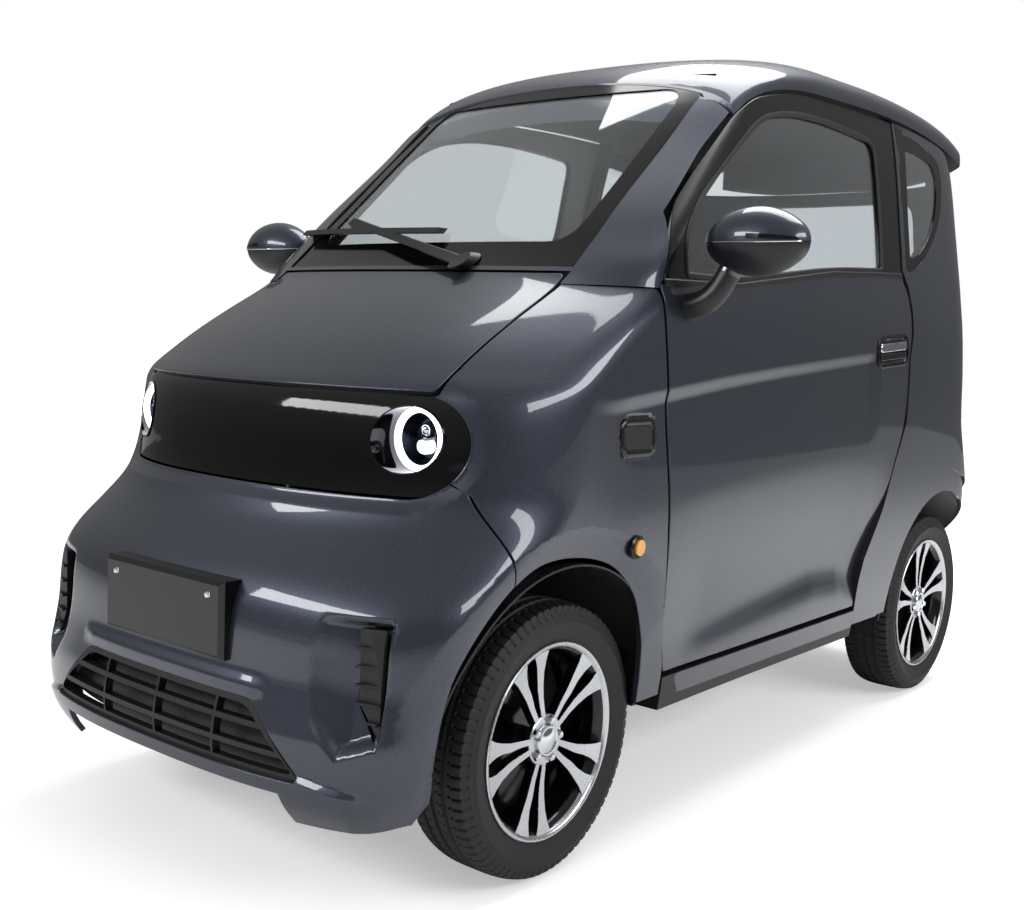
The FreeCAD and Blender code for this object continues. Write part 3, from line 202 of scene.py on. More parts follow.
LINES = {key: fair(table) for key, table in dict(
    nose=NOSE, tail=TAIL, half=HALF_WIDTH, front=FRONT_CORNER, rear=REAR_CORNER, square=FRONT_SQUARE).items()}


def line(key, z):
    """One of the body's lines at heights z."""
    return np.interp(z, HEIGHTS, LINES[key])


def corner(turn, power):
    """Unit rounded corner: (sin, cos) of the turn over the power mean of both."""
    sine, cosine = np.sin(turn), np.cos(turn)
    size = (np.abs(sine) ** power + np.abs(cosine) ** power) ** (1 / power)
    return sine / size, cosine / size


TURNS = np.linspace(0, np.pi / 2, 181)
REFERENCE = dict(half=0.556, front=0.285, rear=0.240, side=1.960, square=2.4)


def run_round(depth, power):
    """Length along a corner of the reference height, against the turn."""
    sx, cy = corner(TURNS, power)
    points = np.stack((REFERENCE["half"] * sx, -depth * cy), 1)
    return np.concatenate(((0,), np.cumsum(np.linalg.norm(np.diff(points, axis=0), axis=1))))


FRONT_RUN = run_round(REFERENCE["front"], REFERENCE["square"])
REAR_RUN = run_round(REFERENCE["rear"], REAR_SQUARE)
SIDE_START = FRONT_RUN[-1]
SIDE_END = SIDE_START + REFERENCE["side"]
ROUND_END = SIDE_END + REAR_RUN[-1]


def shell(run, z):
    """Point of the skin: run goes from the nose's middle round the corner, along the side and round the rear
    corner, in about metres, and is negative on the car's right; z is the height."""
    run, z = np.broadcast_arrays(np.asarray(run, float), np.asarray(z, float))
    way, side = np.abs(run), np.where(run < 0, -1.0, 1.0)
    half, front, rear = line("half", z), line("front", z), line("rear", z)
    start, end = line("nose", z) + front, line("tail", z) - rear
    sx, cy = corner(np.interp(way, FRONT_RUN, TURNS), line("square", z))
    rx, ry = corner(np.interp(ROUND_END - way, REAR_RUN, TURNS), REAR_SQUARE)
    along = start + (way - SIDE_START) / REFERENCE["side"] * (end - start)
    x = np.where(way < SIDE_START, half * sx, np.where(way > SIDE_END, half * rx, half))
    y = np.where(way < SIDE_START, start - front * cy, np.where(way > SIDE_END, end + rear * ry, along))
    return np.stack((x * side, y, z), -1)


def run_at(x, y, z):
    """The run of a place on the skin, the inverse of shell."""
    x, y, z = (np.asarray(v, float) for v in np.broadcast_arrays(x, y, z))
    half, front, rear = line("half", z), line("front", z), line("rear", z)
    start, end = line("nose", z) + front, line("tail", z) - rear
    turn = np.arctan2(np.abs(x) / half, np.maximum(start - y, 0) / front)
    back_turn = np.arctan2(np.abs(x) / half, np.maximum(y - end, 0) / rear)
    way = np.where(y < start, np.interp(turn, TURNS, FRONT_RUN),
                   np.where(y > end, ROUND_END - np.interp(back_turn, TURNS, REAR_RUN),
                            SIDE_START + (y - start) / (end - start) * REFERENCE["side"]))
    return np.where(x < 0, -way, way)


def front_at(x, z):
    """The run of a place of the nose seen from the front, from how far out it is."""
    x, z = (np.asarray(v, float) for v in np.broadcast_arrays(x, z))
    sx, cy = corner(TURNS[:, None], line("square", z.ravel())[None, :])
    share = np.abs(x.ravel()) / line("half", z.ravel())
    turn = np.array([np.interp(s, column, TURNS) for s, column in zip(share, sx.T)])
    return (np.interp(turn, TURNS, FRONT_RUN) * np.where(x.ravel() < 0, -1, 1)).reshape(x.shape)


def side_at(y, z):
    """The run of a place of the left side seen from the side."""
    y, z = (np.asarray(v, float) for v in np.broadcast_arrays(y, z))
    half, front, rear = line("half", z), line("front", z), line("rear", z)
    start, end = line("nose", z) + front, line("tail", z) - rear
    power = line("square", z)
    share = np.clip((start - y) / front, 0, 1)
    x = half * (1 - share ** power) ** (1 / power)
    behind = np.clip((y - end) / rear, 0, 1)
    x = np.where(y > end, half * (1 - behind ** REAR_SQUARE) ** (1 / REAR_SQUARE), x)
    return run_at(x, y, z)


def on_front(path):
    """Places (x, z) of the nose put into the body form's own terms."""
    return np.stack((front_at(*path.T), path[:, 1]), 1)


def on_side(path):
    """Places (y, z) of the left side put into the body form's own terms."""
    return np.stack((side_at(*path.T), path[:, 1]), 1)


# Panels
# Moulded skins with a rolled edge, cut from the body form along their seams and painted gunmetal. Each is
# a net of small triangles that a shallow relief can bend, closed to its full thickness.
ROUND_STEPS, SHORTEST = 9, 2e-4


def smooth(points, step=0.010):
    """Closed outline from corners (a, b) or (a, b, radius): each corner becomes a parabola that
    starts and ends at most its radius away, and long runs are divided into steps."""
    table = np.array([(*p, 0.3)[:3] for p in points])
    p, radius = table[:, :2], table[:, 2]
    before, after = np.roll(p, 1, 0) - p, np.roll(p, -1, 0) - p
    size_before, size_after = np.linalg.norm(before, axis=1), np.linalg.norm(after, axis=1)
    reach = np.minimum(radius, np.minimum(size_before, size_after) / 2.001)
    start, end = p + before * (reach / size_before)[:, None], p + after * (reach / size_after)[:, None]
    t = np.linspace(0, 1, ROUND_STEPS)[None, :, None]
    path = (1 - t) ** 2 * start[:, None] + 2 * t * (1 - t) * p[:, None] + t ** 2 * end[:, None]
    path = path.reshape(-1, 2)
    path = path[np.linalg.norm(path - np.roll(path, 1, 0), axis=1) > SHORTEST]
    return divided(path, step)


def divided(path, step, closed=True):
    """The same path with every run longer than a step divided evenly."""
    ahead = np.roll(path, -1, 0) - path
    count = np.maximum(1, np.ceil(np.linalg.norm(ahead, axis=1) / step)).astype(int)
    if not closed:
        count[-1] = 1
    which = np.repeat(np.arange(len(path)), count)
    part = (np.arange(count.sum()) - np.repeat(np.cumsum(count) - count, count)) / count[which]
    return path[which] + ahead[which] * part[:, None]


def turning(loop, way):
    """The loop run anticlockwise for way 1, clockwise for way -1, by the sign of its area."""
    area = np.sum(loop[:, 0] * np.roll(loop[:, 1], -1) - loop[:, 1] * np.roll(loop[:, 0], -1))
    return loop if area * way > 0 else loop[::-1]


AT_ONCE = 4000


def within(points, loop):
    """Which points lie in the loop: an odd number of its runs pass to their right."""
    a, b = loop, np.roll(loop, -1, 0)
    found = []
    for some in np.array_split(points, max(1, len(points) // AT_ONCE)):
        x, y = some[:, :1], some[:, 1:2]
        level = (a[:, 1] > y) != (b[:, 1] > y)
        rise = np.where(level, b[:, 1] - a[:, 1], 1.0)
        found.append((level & (x < (b[:, 0] - a[:, 0]) * (y - a[:, 1]) / rise + a[:, 0])).sum(1) % 2 == 1)
    return np.concatenate(found)


def in_panel(points, loops):
    """Which points lie in the first loop and in none of the holes after it."""
    found = within(points, loops[0])
    for hole in loops[1:]:
        found &= ~within(points, hole)
    return found


def facing(chart, flat, small=0.0006):
    """Unit normals of a chart, from its differences along both of its directions."""
    a, b = flat.T
    along = chart(a + small, b) - chart(a - small, b)
    up = chart(a, b + small) - chart(a, b - small)
    normal = np.cross(along, up)
    return normal / np.linalg.norm(normal, axis=-1, keepdims=True)


def unit(v):
    """Vectors scaled to length one."""
    return v / np.maximum(np.linalg.norm(v, axis=-1, keepdims=True), 1e-12)


def add_piece(name, parts, material, body, replaces=(), sharp=None):
    """Makes one object of parts (points, faces, corner normals or None) that rides on a body."""
    points, faces, normals, base = [], [], [], 0
    for spots, corners, turned_by in parts:
        points.append(spots.reshape(-1, 3))
        for k, group in enumerate(corners):
            faces += (group + base).tolist()
            if turned_by is not None:
                normals.append(turned_by[k].reshape(-1, 3))
        base += len(points[-1])
    mesh = bpy.data.meshes.new(name)
    mesh.from_pydata(np.concatenate(points).tolist(), [], faces)
    mesh.polygons.foreach_set("use_smooth", np.ones(len(faces), bool))
    if normals:
        mesh.normals_split_custom_set(np.concatenate(normals).tolist())
    elif sharp:
        mesh.set_sharp_from_angle(angle=np.radians(sharp))
    mesh.materials.append(material)
    made = bpy.data.objects.new(name, mesh)
    scene.collection.objects.link(made)
    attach(made, body)
    if replaces:
        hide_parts(*replaces)
    return made


CLEAR_OF_EDGE, CLEAR_OF_LOOP, EDGES_AT_ONCE = 0.4, 0.35, 150
EDGE_BENDS = np.radians((30, 60, 90))


def panel_net(loops, spacing, lines):
    """A net of triangles inside its loops: points on a grid with every other row moved half a step, clear of
    the loops and lines, joined so that these run along edges. Gives places, triangles and loops."""
    low, high = loops[0].min(0), loops[0].max(0)
    counts = np.maximum(2, np.ceil((high - low) / spacing)).astype(int)
    steps = (np.linspace(a, b, n) for a, b, n in zip(low, high, counts))
    net = np.stack(np.meshgrid(*steps, indexing="ij"), -1)
    net[:, 1::2, 0] += spacing[0] / 2
    net = net.reshape(-1, 2)
    net = net[in_panel(net, loops)]
    lines = [np.asarray(path, float) for path in lines]
    lines = [(path, in_panel(path, loops)) for path in lines]
    walls = np.concatenate(loops + [path[keep] for path, keep in lines])
    for some in np.array_split(walls, max(1, len(walls) // EDGES_AT_ONCE)):
        gap = (net[:, None] - some[None]) / spacing
        net = net[(gap ** 2).sum(-1).min(1) > CLEAR_OF_EDGE ** 2]
    flat, edges, rings, base = [], [], [], 0
    for loop in loops:
        ids = np.arange(len(loop)) + base
        edges += np.stack((ids, np.roll(ids, -1)), 1).tolist()
        rings.append(ids)
        flat.append(loop)
        base += len(loop)
    for path, keep in lines:
        far = np.array([np.min(np.linalg.norm((walls[:base] - p) / spacing, axis=1)) for p in path])
        keep = keep & (far > CLEAR_OF_LOOP)
        ids = np.cumsum(keep) - 1 + base
        pairs = np.flatnonzero(keep[:-1] & keep[1:])
        edges += np.stack((ids[pairs], ids[pairs + 1]), 1).tolist()
        flat.append(path[keep])
        base += int(keep.sum())
    flat = np.concatenate(flat + [net])
    found = delaunay_2d_cdt(flat.tolist(), edges, [], 1, 1e-7)
    spots, triangles = np.array([tuple(v) for v in found[0]]), np.array(found[2])
    place = np.full(len(flat), -1)
    for new, old in enumerate(found[3]):
        place[old] = new
    triangles = triangles[in_panel(spots[triangles].mean(1), loops)]
    return spots, triangles, [place[ids] for ids in rings]


def panel(chart, outline, holes=(), spacing=(0.012, 0.012), thick=0.016, edge=0.002, lines=()):
    """One closed skin over a chart: a triangle net inside the outline and outside the holes, a quarter-round
    edge from it to a wall of its thickness, and the same net inside. The net follows the lines as creases."""
    loops = [turning(outline, 1)] + [turning(hole, -1) for hole in holes]
    spots, triangles, rings = panel_net(loops, spacing, lines)
    skin, normal = chart(*spots.T), facing(chart, spots)
    inner = skin - normal * thick
    count = len(spots)
    points, groups = [skin, inner], [triangles, triangles[:, ::-1] + count]
    turns = [normal[triangles], -normal[triangles[:, ::-1]]]
    base = 2 * count
    for ids in rings:
        p, n = skin[ids].copy(), normal[ids]
        along = unit(np.roll(p, -1, 0) - np.roll(p, 1, 0))
        inward = unit(np.cross(n, along))
        points[0][ids] = p + inward * edge
        rows, faced = [ids], [n]
        for bend in EDGE_BENDS:
            rows.append(np.arange(len(ids)) + base)
            points.append(p + inward * edge * (1 - np.sin(bend)) - n * edge * (1 - np.cos(bend)))
            faced.append(n * np.cos(bend) - inward * np.sin(bend))
            base += len(ids)
        rows.append(ids + count)
        faced.append(-inward)
        for a, b, na, nb in zip(rows[:-1], rows[1:], faced[:-1], faced[1:]):
            groups.append(np.stack((np.roll(a, -1), a, b, np.roll(b, -1)), 1))
            turns.append(np.stack((np.roll(na, -1, 0), na, nb, np.roll(nb, -1, 0)), 1))
    return np.concatenate(points), groups, turns


FLAKE, PEEL, LINING_GRAIN = 0.9091, 5.5556, 2.0    # millimetres, drawn coarse enough to show


def metallic_paint():
    """Sprayed gunmetal base coat under clear lacquer: fine aluminium flake gives a soft glow at the middle of
    a curve, the lacquer a sharp highlight, and its faint orange peel breaks long reflections."""
    paint, tree, shader = finish("gunmetal_lacquer", Metallic=0.82, Roughness=0.40, Coat_Weight=1.0,
                                 Coat_Roughness=0.035, Coat_IOR=1.5)
    place = node(tree, "ShaderNodeTexCoord")
    flake = node(tree, "ShaderNodeTexVoronoi", (("Vector", place.outputs["Object"]), ("Scale", 1000 / FLAKE)))
    tone = node(tree, "ShaderNodeValToRGB", ((0, flake.outputs["Color"]),))
    tone.color_ramp.elements[0].color = linear("2B2F39")
    tone.color_ramp.elements[1].color = linear("434855")
    tree.links.new(tone.outputs[0], shader.inputs["Base Color"])
    peel = node(tree, "ShaderNodeTexNoise", (("Vector", place.outputs["Object"]), ("Scale", 1000 / PEEL),
                                             ("Detail", 2.0)))
    bump = node(tree, "ShaderNodeBump", (("Height", peel.outputs["Fac"]), ("Strength", 0.03),
                                         ("Distance", 0.001)))
    tree.links.new(bump.outputs[0], shader.inputs["Coat Normal"])
    return paint


def lined(name, dark, light, middle):
    """The same lacquer on what faces away from the cabin's middle, and soft moulded black trim on what faces
    it, which is where the normal's product with the way from the middle is negative."""
    both = metallic_paint()
    both.name = name
    tree = both.node_tree
    out = next(n for n in tree.nodes if n.type == "OUTPUT_MATERIAL")
    outside = out.inputs["Surface"].links[0].from_socket
    inside = node(tree, "ShaderNodeBsdfPrincipled")
    inside.inputs["Roughness"].default_value = 0.7
    place, surface = node(tree, "ShaderNodeTexCoord"), node(tree, "ShaderNodeNewGeometry")
    grain = node(tree, "ShaderNodeTexNoise",
                 (("Vector", place.outputs["Object"]), ("Scale", 1000 / LINING_GRAIN)))
    tone = node(tree, "ShaderNodeValToRGB", ((0, grain.outputs["Fac"]),))
    tone.color_ramp.elements[0].color = linear(dark)
    tone.color_ramp.elements[1].color = linear(light)
    tree.links.new(tone.outputs[0], inside.inputs["Base Color"])
    away = node(tree, "ShaderNodeVectorMath", ((0, place.outputs["Object"]), (1, middle)),
                operation="SUBTRACT")
    faced = node(tree, "ShaderNodeVectorMath", ((0, surface.outputs["Normal"]), (1, away.outputs[0])),
                 operation="DOT_PRODUCT")
    inward = node(tree, "ShaderNodeMath", ((0, faced.outputs["Value"]), (1, 0.0)), operation="LESS_THAN")
    mix = node(tree, "ShaderNodeMixShader", ((0, inward.outputs[0]), (1, outside), (2, inside.outputs[0])))
    tree.links.new(mix.outputs[0], out.inputs["Surface"])
    return both


paint = metallic_paint()
lined_paint = lined("gunmetal_lacquer_lined_black", "09090B", "111113", (0.0, 0.25, 0.95))
GAP = 0.0015


def at_front(points, **how):
    """Outline of a panel of the nose, from places (x, z) seen from the front."""
    return on_front(smooth(points, **how))


def at_side(points, **how):
    """Outline of a panel of the left side, from places (y, z) seen from the side."""
    return on_side(smooth(points, **how))


# Hood
# One moulded lid from the lip over the lamps to the foot of the windscreen, painted like the body and
# hinged near its rear edge.
HOOD_HALF, HOOD_LOW, HOOD_TOP = 0.3975, 0.8685, 1.0835
HOOD_SHOULDER, HOOD_DRAWN, HOOD_ROUND = 1.040, 0.006, 0.012
hood_line = at_front([(-HOOD_HALF, HOOD_LOW, HOOD_ROUND), (HOOD_HALF, HOOD_LOW, HOOD_ROUND),
                      (HOOD_HALF, HOOD_SHOULDER), (HOOD_HALF - HOOD_DRAWN, HOOD_TOP, HOOD_ROUND),
                      (-HOOD_HALF + HOOD_DRAWN, HOOD_TOP, HOOD_ROUND), (-HOOD_HALF, HOOD_SHOULDER)])
add_piece("hood_lid", [panel(shell, hood_line, spacing=(0.012, 0.006))], paint, "hood",
          ["hood"])


# Front bumper
# A one-piece moulding under the lamp band, cut for the lower grille, the side scoops and the wheels,
# with a lip along its foot. It is clipped to the wings along a seam above each wheel.
WHEELS = ((-0.800, 0.250), (0.930, 0.250))
ARCH_EDGE = ((-1.109, 0.210), (-1.116, 0.286), (-1.102, 0.378), (-1.075, 0.444), (-1.022, 0.506),
             (-0.958, 0.554), (-0.879, 0.583), (-0.770, 0.580), (-0.670, 0.552), (-0.604, 0.495),
             (-0.578, 0.424), (-0.569, 0.350), (-0.567, 0.277))
BAND_LOW, BAND_TOP, BAND_HALF = 0.692, 0.864, 0.463
BAND_MIDDLE, BAND_ROUND = (BAND_LOW + BAND_TOP) / 2, (BAND_TOP - BAND_LOW) / 2


def through(points, step=0.008):
    """A curve through points: each run is the cubic whose ends lean as the neighbours do, cut into steps."""
    p = np.array(points, float)
    p = np.concatenate((2 * p[:1] - p[1:2], p, 2 * p[-1:] - p[-2:-1]))
    runs = []
    for a, b, c, d in zip(p[:-3], p[1:-2], p[2:-1], p[3:]):
        t = np.linspace(0, 1, max(2, int(np.linalg.norm(c - b) / step) + 1), endpoint=False)[:, None]
        runs.append(b + (c - a) / 2 * t + (2 * a - 5 * b + 4 * c - d) / 2 * t ** 2
                    + (3 * b - a - 3 * c + d) / 2 * t ** 3)
    return np.concatenate(runs + [p[-2:-1]])


def ramp(value, start, end, most=1):
    """0 at the start, 1 at the end, even between and up to the most past it; the end may be the lower."""
    return np.clip((value - start) / (end - start), 0, most)


def eased(share):
    """A share that starts and ends level: three of its square less two of its cube."""
    return share * share * (3 - 2 * share)


FLANGE_FAR, FLANGE_NEAR, FLANGE_DEEP = 0.386, 0.331, 0.015
BEVEL_DEEP, SCOOP_DEEP, LIP_OUT, BROW_OUT = 0.009, 0.024, 0.008, 0.006
SCOOP_INNER = ((0.270, 0.345, 0.443, 0.512), (0.400, 0.352, 0.342, 0.350))
SCOOP_FOOT = ((0.345, 0.405, 0.462), (0.345, 0.284, 0.309))
SCOOP_TOP, SCOOP_OUTER, SCOOP_END, FOOT_HIGH, CREASE = 0.511, 0.418, 0.468, 0.034, 0.005
LEDGE = ((0, 0.350, 0.460, 0.513), (0.252, 0.252, 0.231, 0.203))


def arch_relief(spot):
    """The turned-in flange round each wheel: within 55 mm of the opening the skin falls away evenly to its
    lip, and the fold fades towards the sill."""
    x, y, z = np.moveaxis(spot, -1, 0)
    fall = 0.0
    for (ahead, high), lean in zip(WHEELS, (-1, 1)):
        far = np.hypot(y - ahead, z - high)
        turn = np.degrees(np.arctan2((y - ahead) * lean, z - high))
        fade = ramp(turn, -58, -24) * ramp(turn, 118, 98)
        deep = ramp(far, FLANGE_FAR, FLANGE_NEAR, 1.1) * ramp(np.abs(x), 0.42, 0.48)
        fall = fall + FLANGE_DEEP * fade * deep
    return -fall


def band_relief(spot):
    """The bevel round the lamp band: over 25 mm the skin slopes down 9 mm to the band's edge."""
    x, y, z = np.moveaxis(spot, -1, 0)
    far = np.hypot(np.maximum(np.abs(x) - (BAND_HALF - BAND_ROUND), 0), z - BAND_MIDDLE) - BAND_ROUND
    return -BEVEL_DEEP * ramp(far, 0.026, 0.002) * ramp(y, -0.80, -0.85)


def scoop_relief(spot):
    """Scoops beside the grille: the skin sinks evenly outwards to the vents, under a sharp upper edge and
    over a wedge-shaped foot."""
    x, y, z = np.moveaxis(spot, -1, 0)
    start, foot = np.interp(z, *SCOOP_INNER), np.interp(np.abs(x), *SCOOP_FOOT)
    tall = ramp(z, SCOOP_TOP, SCOOP_TOP - CREASE) * eased(ramp(z, foot, foot + FOOT_HIGH))
    wide = ramp(np.abs(x), start, SCOOP_OUTER) * ramp(np.abs(x), SCOOP_END, SCOOP_END - CREASE)
    return -SCOOP_DEEP * wide * tall * (y < -0.95)


def lip_relief(spot):
    """The lip: below its ledge the skin stands out 8 mm, less towards the lip's ends."""
    x, y, z = np.moveaxis(spot, -1, 0)
    high = np.interp(np.abs(x), *LEDGE)
    return LIP_OUT * ramp(z, high, high - CREASE) * ramp(np.abs(x), 0.470, 0.410) * (y < -0.9)


def brow_relief(spot):
    """The soft swell over the lower grille, 6 mm high and 46 mm wide."""
    x, y, z = np.moveaxis(spot, -1, 0)
    side = np.interp(z, (0.243, 0.358), (0.350, 0.236))
    above = np.clip(1 - np.abs(z - 0.378) / 0.023, 0, 1)
    return BROW_OUT * eased(above) * ramp(np.abs(x), side + 0.03, side - 0.01) * (y < -0.9)


SMALL = 0.0008


def moved_out(chart, height):
    """A chart moved along its own normals by a height that is a function of the place."""
    def moved(a, b):
        a, b = np.broadcast_arrays(np.asarray(a, float), np.asarray(b, float))
        along, up = chart(a + SMALL, b) - chart(a - SMALL, b), chart(a, b + SMALL) - chart(a, b - SMALL)
        spot = chart(a, b)
        return spot + unit(np.cross(along, up)) * height(spot)[..., None]
    return moved


def skin_with(*reliefs):
    """The body form with the sum of some reliefs."""
    return moved_out(shell, lambda spot: sum(relief(spot) for relief in reliefs))


def lifted(chart, by):
    """A chart moved along its own normals by a distance."""
    return moved_out(chart, lambda spot: np.full(spot.shape[:-1], by))


arch_path = through(ARCH_EDGE)
SEAM_FOOT, SEAM_GAP = -0.956, 0.0015
arch_front = arch_path[arch_path[:, 0] < SEAM_FOOT - SEAM_GAP]
arch_rear = arch_path[arch_path[:, 0] > SEAM_FOOT + SEAM_GAP]
seam = through(((-0.9580, 0.554), (-0.9690, 0.600), (-0.9820, 0.651), (-1.0010, 0.726), (-1.0120, 0.758)))


def stadium(grow, start, stop, count=40):
    """Part of the left end of the lamp band's edge, grown by a distance, between two turns in degrees."""
    turn = np.radians(np.linspace(start, stop, count))
    radius = BAND_ROUND + grow
    path = np.stack((BAND_HALF - BAND_ROUND + radius * np.cos(turn), BAND_MIDDLE + radius * np.sin(turn)), 1)
    return on_front(path)


SEAM_TURN, SEAM_TOP, EDGE_STEP = -44, 0.712, 0.010
FOOT = ((0.0, 0.2185), (0.303, 0.2185), (0.312, 0.1660), (0.434, 0.1660), (0.487, 0.1710))
GRILLE = ((-0.350, 0.243, 0.022), (0.350, 0.243, 0.022), (0.236, 0.358, 0.022), (-0.236, 0.358, 0.022))
VENT = ((0.421, 0.502, 0.006), (0.4585, 0.496, 0.006), (0.4595, 0.324, 0.006), (0.421, 0.384, 0.006))
seam_edge = seam[seam[:, 1] < SEAM_TOP]
foot = divided(np.array(FOOT), EDGE_STEP, closed=False)
band_foot = divided(np.array(((BAND_HALF - BAND_ROUND, BAND_LOW - GAP), (0.0, BAND_LOW - GAP))), EDGE_STEP,
                    closed=False)
half_outline = np.concatenate((on_front(foot), on_side(arch_front), on_side(seam_edge + (-GAP, 0.0)),
                               stadium(GAP, SEAM_TURN, -90, 14), on_front(band_foot)[1:]))
whole = divided(np.concatenate((half_outline, half_outline[-2:0:-1] * (-1, 1))), EDGE_STEP)
grille_hole, vent_hole = at_front(GRILLE), at_front(VENT)
ledge_x = np.linspace(-0.470, 0.470, 150)
scoop_x, scoop_z = np.linspace(0.346, 0.4675, 22), np.linspace(0.316, 0.505, 30)
left_creases = [(scoop_x, np.full(22, high)) for high in (SCOOP_TOP, SCOOP_TOP - CREASE)]
left_creases += [(np.full(30, out), scoop_z) for out in (SCOOP_END, SCOOP_END - CREASE)]
left_creases += [(scoop_x, np.interp(scoop_x, *SCOOP_FOOT) + rise) for rise in (0.0, 0.011, 0.022, FOOT_HIGH)]
left_creases += [(np.interp(scoop_z, *SCOOP_INNER), scoop_z)]
left_creases = [on_front(np.stack(path, 1)) for path in left_creases]
creases = left_creases + [path * (-1, 1) for path in left_creases]
for drop in (0.0, CREASE):
    creases.append(on_front(np.stack((ledge_x, np.interp(np.abs(ledge_x), *LEDGE) - drop), 1)))
bumper = panel(skin_with(arch_relief, band_relief, scoop_relief, lip_relief, brow_relief), whole,
               [grille_hole, vent_hole, vent_hole * (-1, 1)], (0.010, 0.007), 0.010, lines=creases)
add_piece("front_bumper_skin", [bumper], paint, "car_body", ["front_bumper"])


# Fenders
# Plastic wings between the bumper, the hood and the doors, clipped at their seams, with the rear half
# of the front wheel's opening. The left one has the flap of the charging socket in a shallow hollow.
WAIST = ((-0.70, -0.535, -0.292, -0.048, 0.235, 0.377, 0.65),
         (0.862, 0.879, 0.904, 0.924, 0.944, 0.954, 0.972))
WAIST_DEEP, WAIST_TALL = 0.007, 0.034
FLAP_Y, FLAP_Z, FLAP_LONG, FLAP_TALL, FLAP_ROUND = -0.620, 0.788, 0.036, 0.017, 0.020
GROOVE_HALF, GROOVE_DEEP = 0.0022, 0.004


def step_relief(spot):
    """The waist step: under a rising line the skin tucks in 7 mm over 34 mm of height and comes slowly back."""
    x, y, z = np.moveaxis(spot, -1, 0)
    top = np.interp(y, *WAIST)
    fade = ramp(y, -0.78, -0.64) * ramp(y, 0.45, 0.39)
    return -WAIST_DEEP * eased(ramp(z, top, top - WAIST_TALL)) * eased(ramp(z, top - 0.26, top - 0.04)) * fade


def flap_relief(spot):
    """The charging flap's gap: a groove 4 mm wide round a rounded rectangle, on the left only."""
    x, y, z = np.moveaxis(spot, -1, 0)
    a, b = np.abs(y - FLAP_Y) - FLAP_LONG, np.abs(z - FLAP_Z) - FLAP_TALL
    far = np.hypot(np.maximum(a, 0), np.maximum(b, 0)) + np.minimum(np.maximum(a, b), 0)
    return -GROOVE_DEEP * np.clip(1 - np.abs(far - FLAP_ROUND) / GROOVE_HALF, 0, 1) * (x > 0)


door_front = through(((-0.4865, 0.277), (-0.4865, 0.336), (-0.4970, 0.390), (-0.5080, 0.588),
                      (-0.5140, 0.703), (-0.5310, 0.880), (-0.5400, 0.986), (-0.5450, 1.0419),
                      (-0.5520, 1.061)))
hood_side = np.linspace(1.063, 0.868, 24)
hood_edge = on_front(np.stack((np.full(24, HOOD_HALF + 3 * GAP), hood_side), 1))
fender_outline = divided(np.concatenate((
    on_side(door_front + (-GAP * 2, 0)), hood_edge, stadium(GAP, 78, SEAM_TURN + 2, 40),
    on_side(seam_edge[::-1] + (GAP, 0))[1:], on_side(arch_rear))), EDGE_STEP)
fender_chart = skin_with(arch_relief, band_relief, step_relief, flap_relief)
waist_y = np.linspace(-0.76, 0.44, 190)
waist_lines = [on_side(np.stack((waist_y, np.interp(waist_y, *WAIST) - drop), 1))
               for drop in WAIST_TALL * np.linspace(0, 1, 5)]
add_piece("fender_skin_left", [panel(fender_chart, fender_outline, (), (0.010, 0.006), 0.012,
                                     lines=waist_lines)],
          paint, "car_body", ["fender_left"])
add_piece("fender_skin_right", [panel(fender_chart, fender_outline * (-1, 1), (), (0.012, 0.010), 0.012)],
          paint, "car_body", ["fender_right"])


# Moulded black parts
# Injection-moulded black polypropylene with a fine spark-eroded grain, unpainted: grille, vents, liners,
# floor and wiper. The grain gives a soft even sheen; the lamp band and the plate board are polished.
def grained_plastic(name, dark, light, rough, grain):
    """Coloured plastic whose grain, in millimetres, breaks the shine and lets the tone drift slightly."""
    plastic, tree, shader = finish(name, Roughness=rough)
    place = node(tree, "ShaderNodeTexCoord")
    cells = node(tree, "ShaderNodeTexNoise", (("Vector", place.outputs["Object"]), ("Scale", 1000 / grain),
                                              ("Detail", 3.0)))
    tone = node(tree, "ShaderNodeValToRGB", ((0, cells.outputs["Fac"]),))
    tone.color_ramp.elements[0].color = linear(dark)
    tone.color_ramp.elements[1].color = linear(light)
    tree.links.new(tone.outputs[0], shader.inputs["Base Color"])
    bump = node(tree, "ShaderNodeBump", (("Height", cells.outputs["Fac"]), ("Strength", 0.25),
                                         ("Distance", 0.0004)))
    tree.links.new(bump.outputs[0], shader.inputs["Normal"])
    return plastic


def dress(material, *names):
    """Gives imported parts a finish."""
    for name in names:
        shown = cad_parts[name]
        shown.data.materials.clear()
        shown.data.materials.append(material)


# The first has the grain of its mould, the second comes from a polished one and is almost a mirror.
black_plastic = grained_plastic("grained_black_polypropylene", "0C0C0D", "161617", 0.48, 1.6)
gloss_black = grained_plastic("polished_black_abs", "060607", "0A0A0B", 0.06, 90.0)
dress(black_plastic, "lower_grille", "wheel_liners", "floor_pan", "wiper")
dress(gloss_black, "lamp_band", "plate_holder")
dress(lined_paint, "windscreen_frame", "roof", "side_panel_left", "side_panel_right", "tailgate")
dress(paint, "rear_bumper")


# Headlamps
# Round lamps sunk in the black band behind a smooth black wall: a smoked bowl, a ring of light behind a
# frosted guide, a small projector above a shelf and a bright lens under it, in one housing from behind.
def grid_faces(rows, wide, ring=True, closed=True):
    """Four-cornered faces over a grid of points in rows: each joins two neighbours of a row to the same two of
    the next, past the last row for a ring and past a row's end for a closed section. Free ends get a face."""
    steps, runs = np.arange(rows if ring else rows - 1), np.arange(wide if closed else wide - 1)
    i, j = np.meshgrid(steps, runs, indexing="ij")
    beside, after = (j + 1) % wide, (i + 1) % rows
    corners = (i * wide + j, i * wide + beside, after * wide + beside, after * wide + j)
    faces = [np.stack(corners, -1).reshape(-1, 4)]
    if not ring:
        faces.append(np.array([np.arange(wide)[::-1], np.arange(wide) + (rows - 1) * wide]))
    return faces


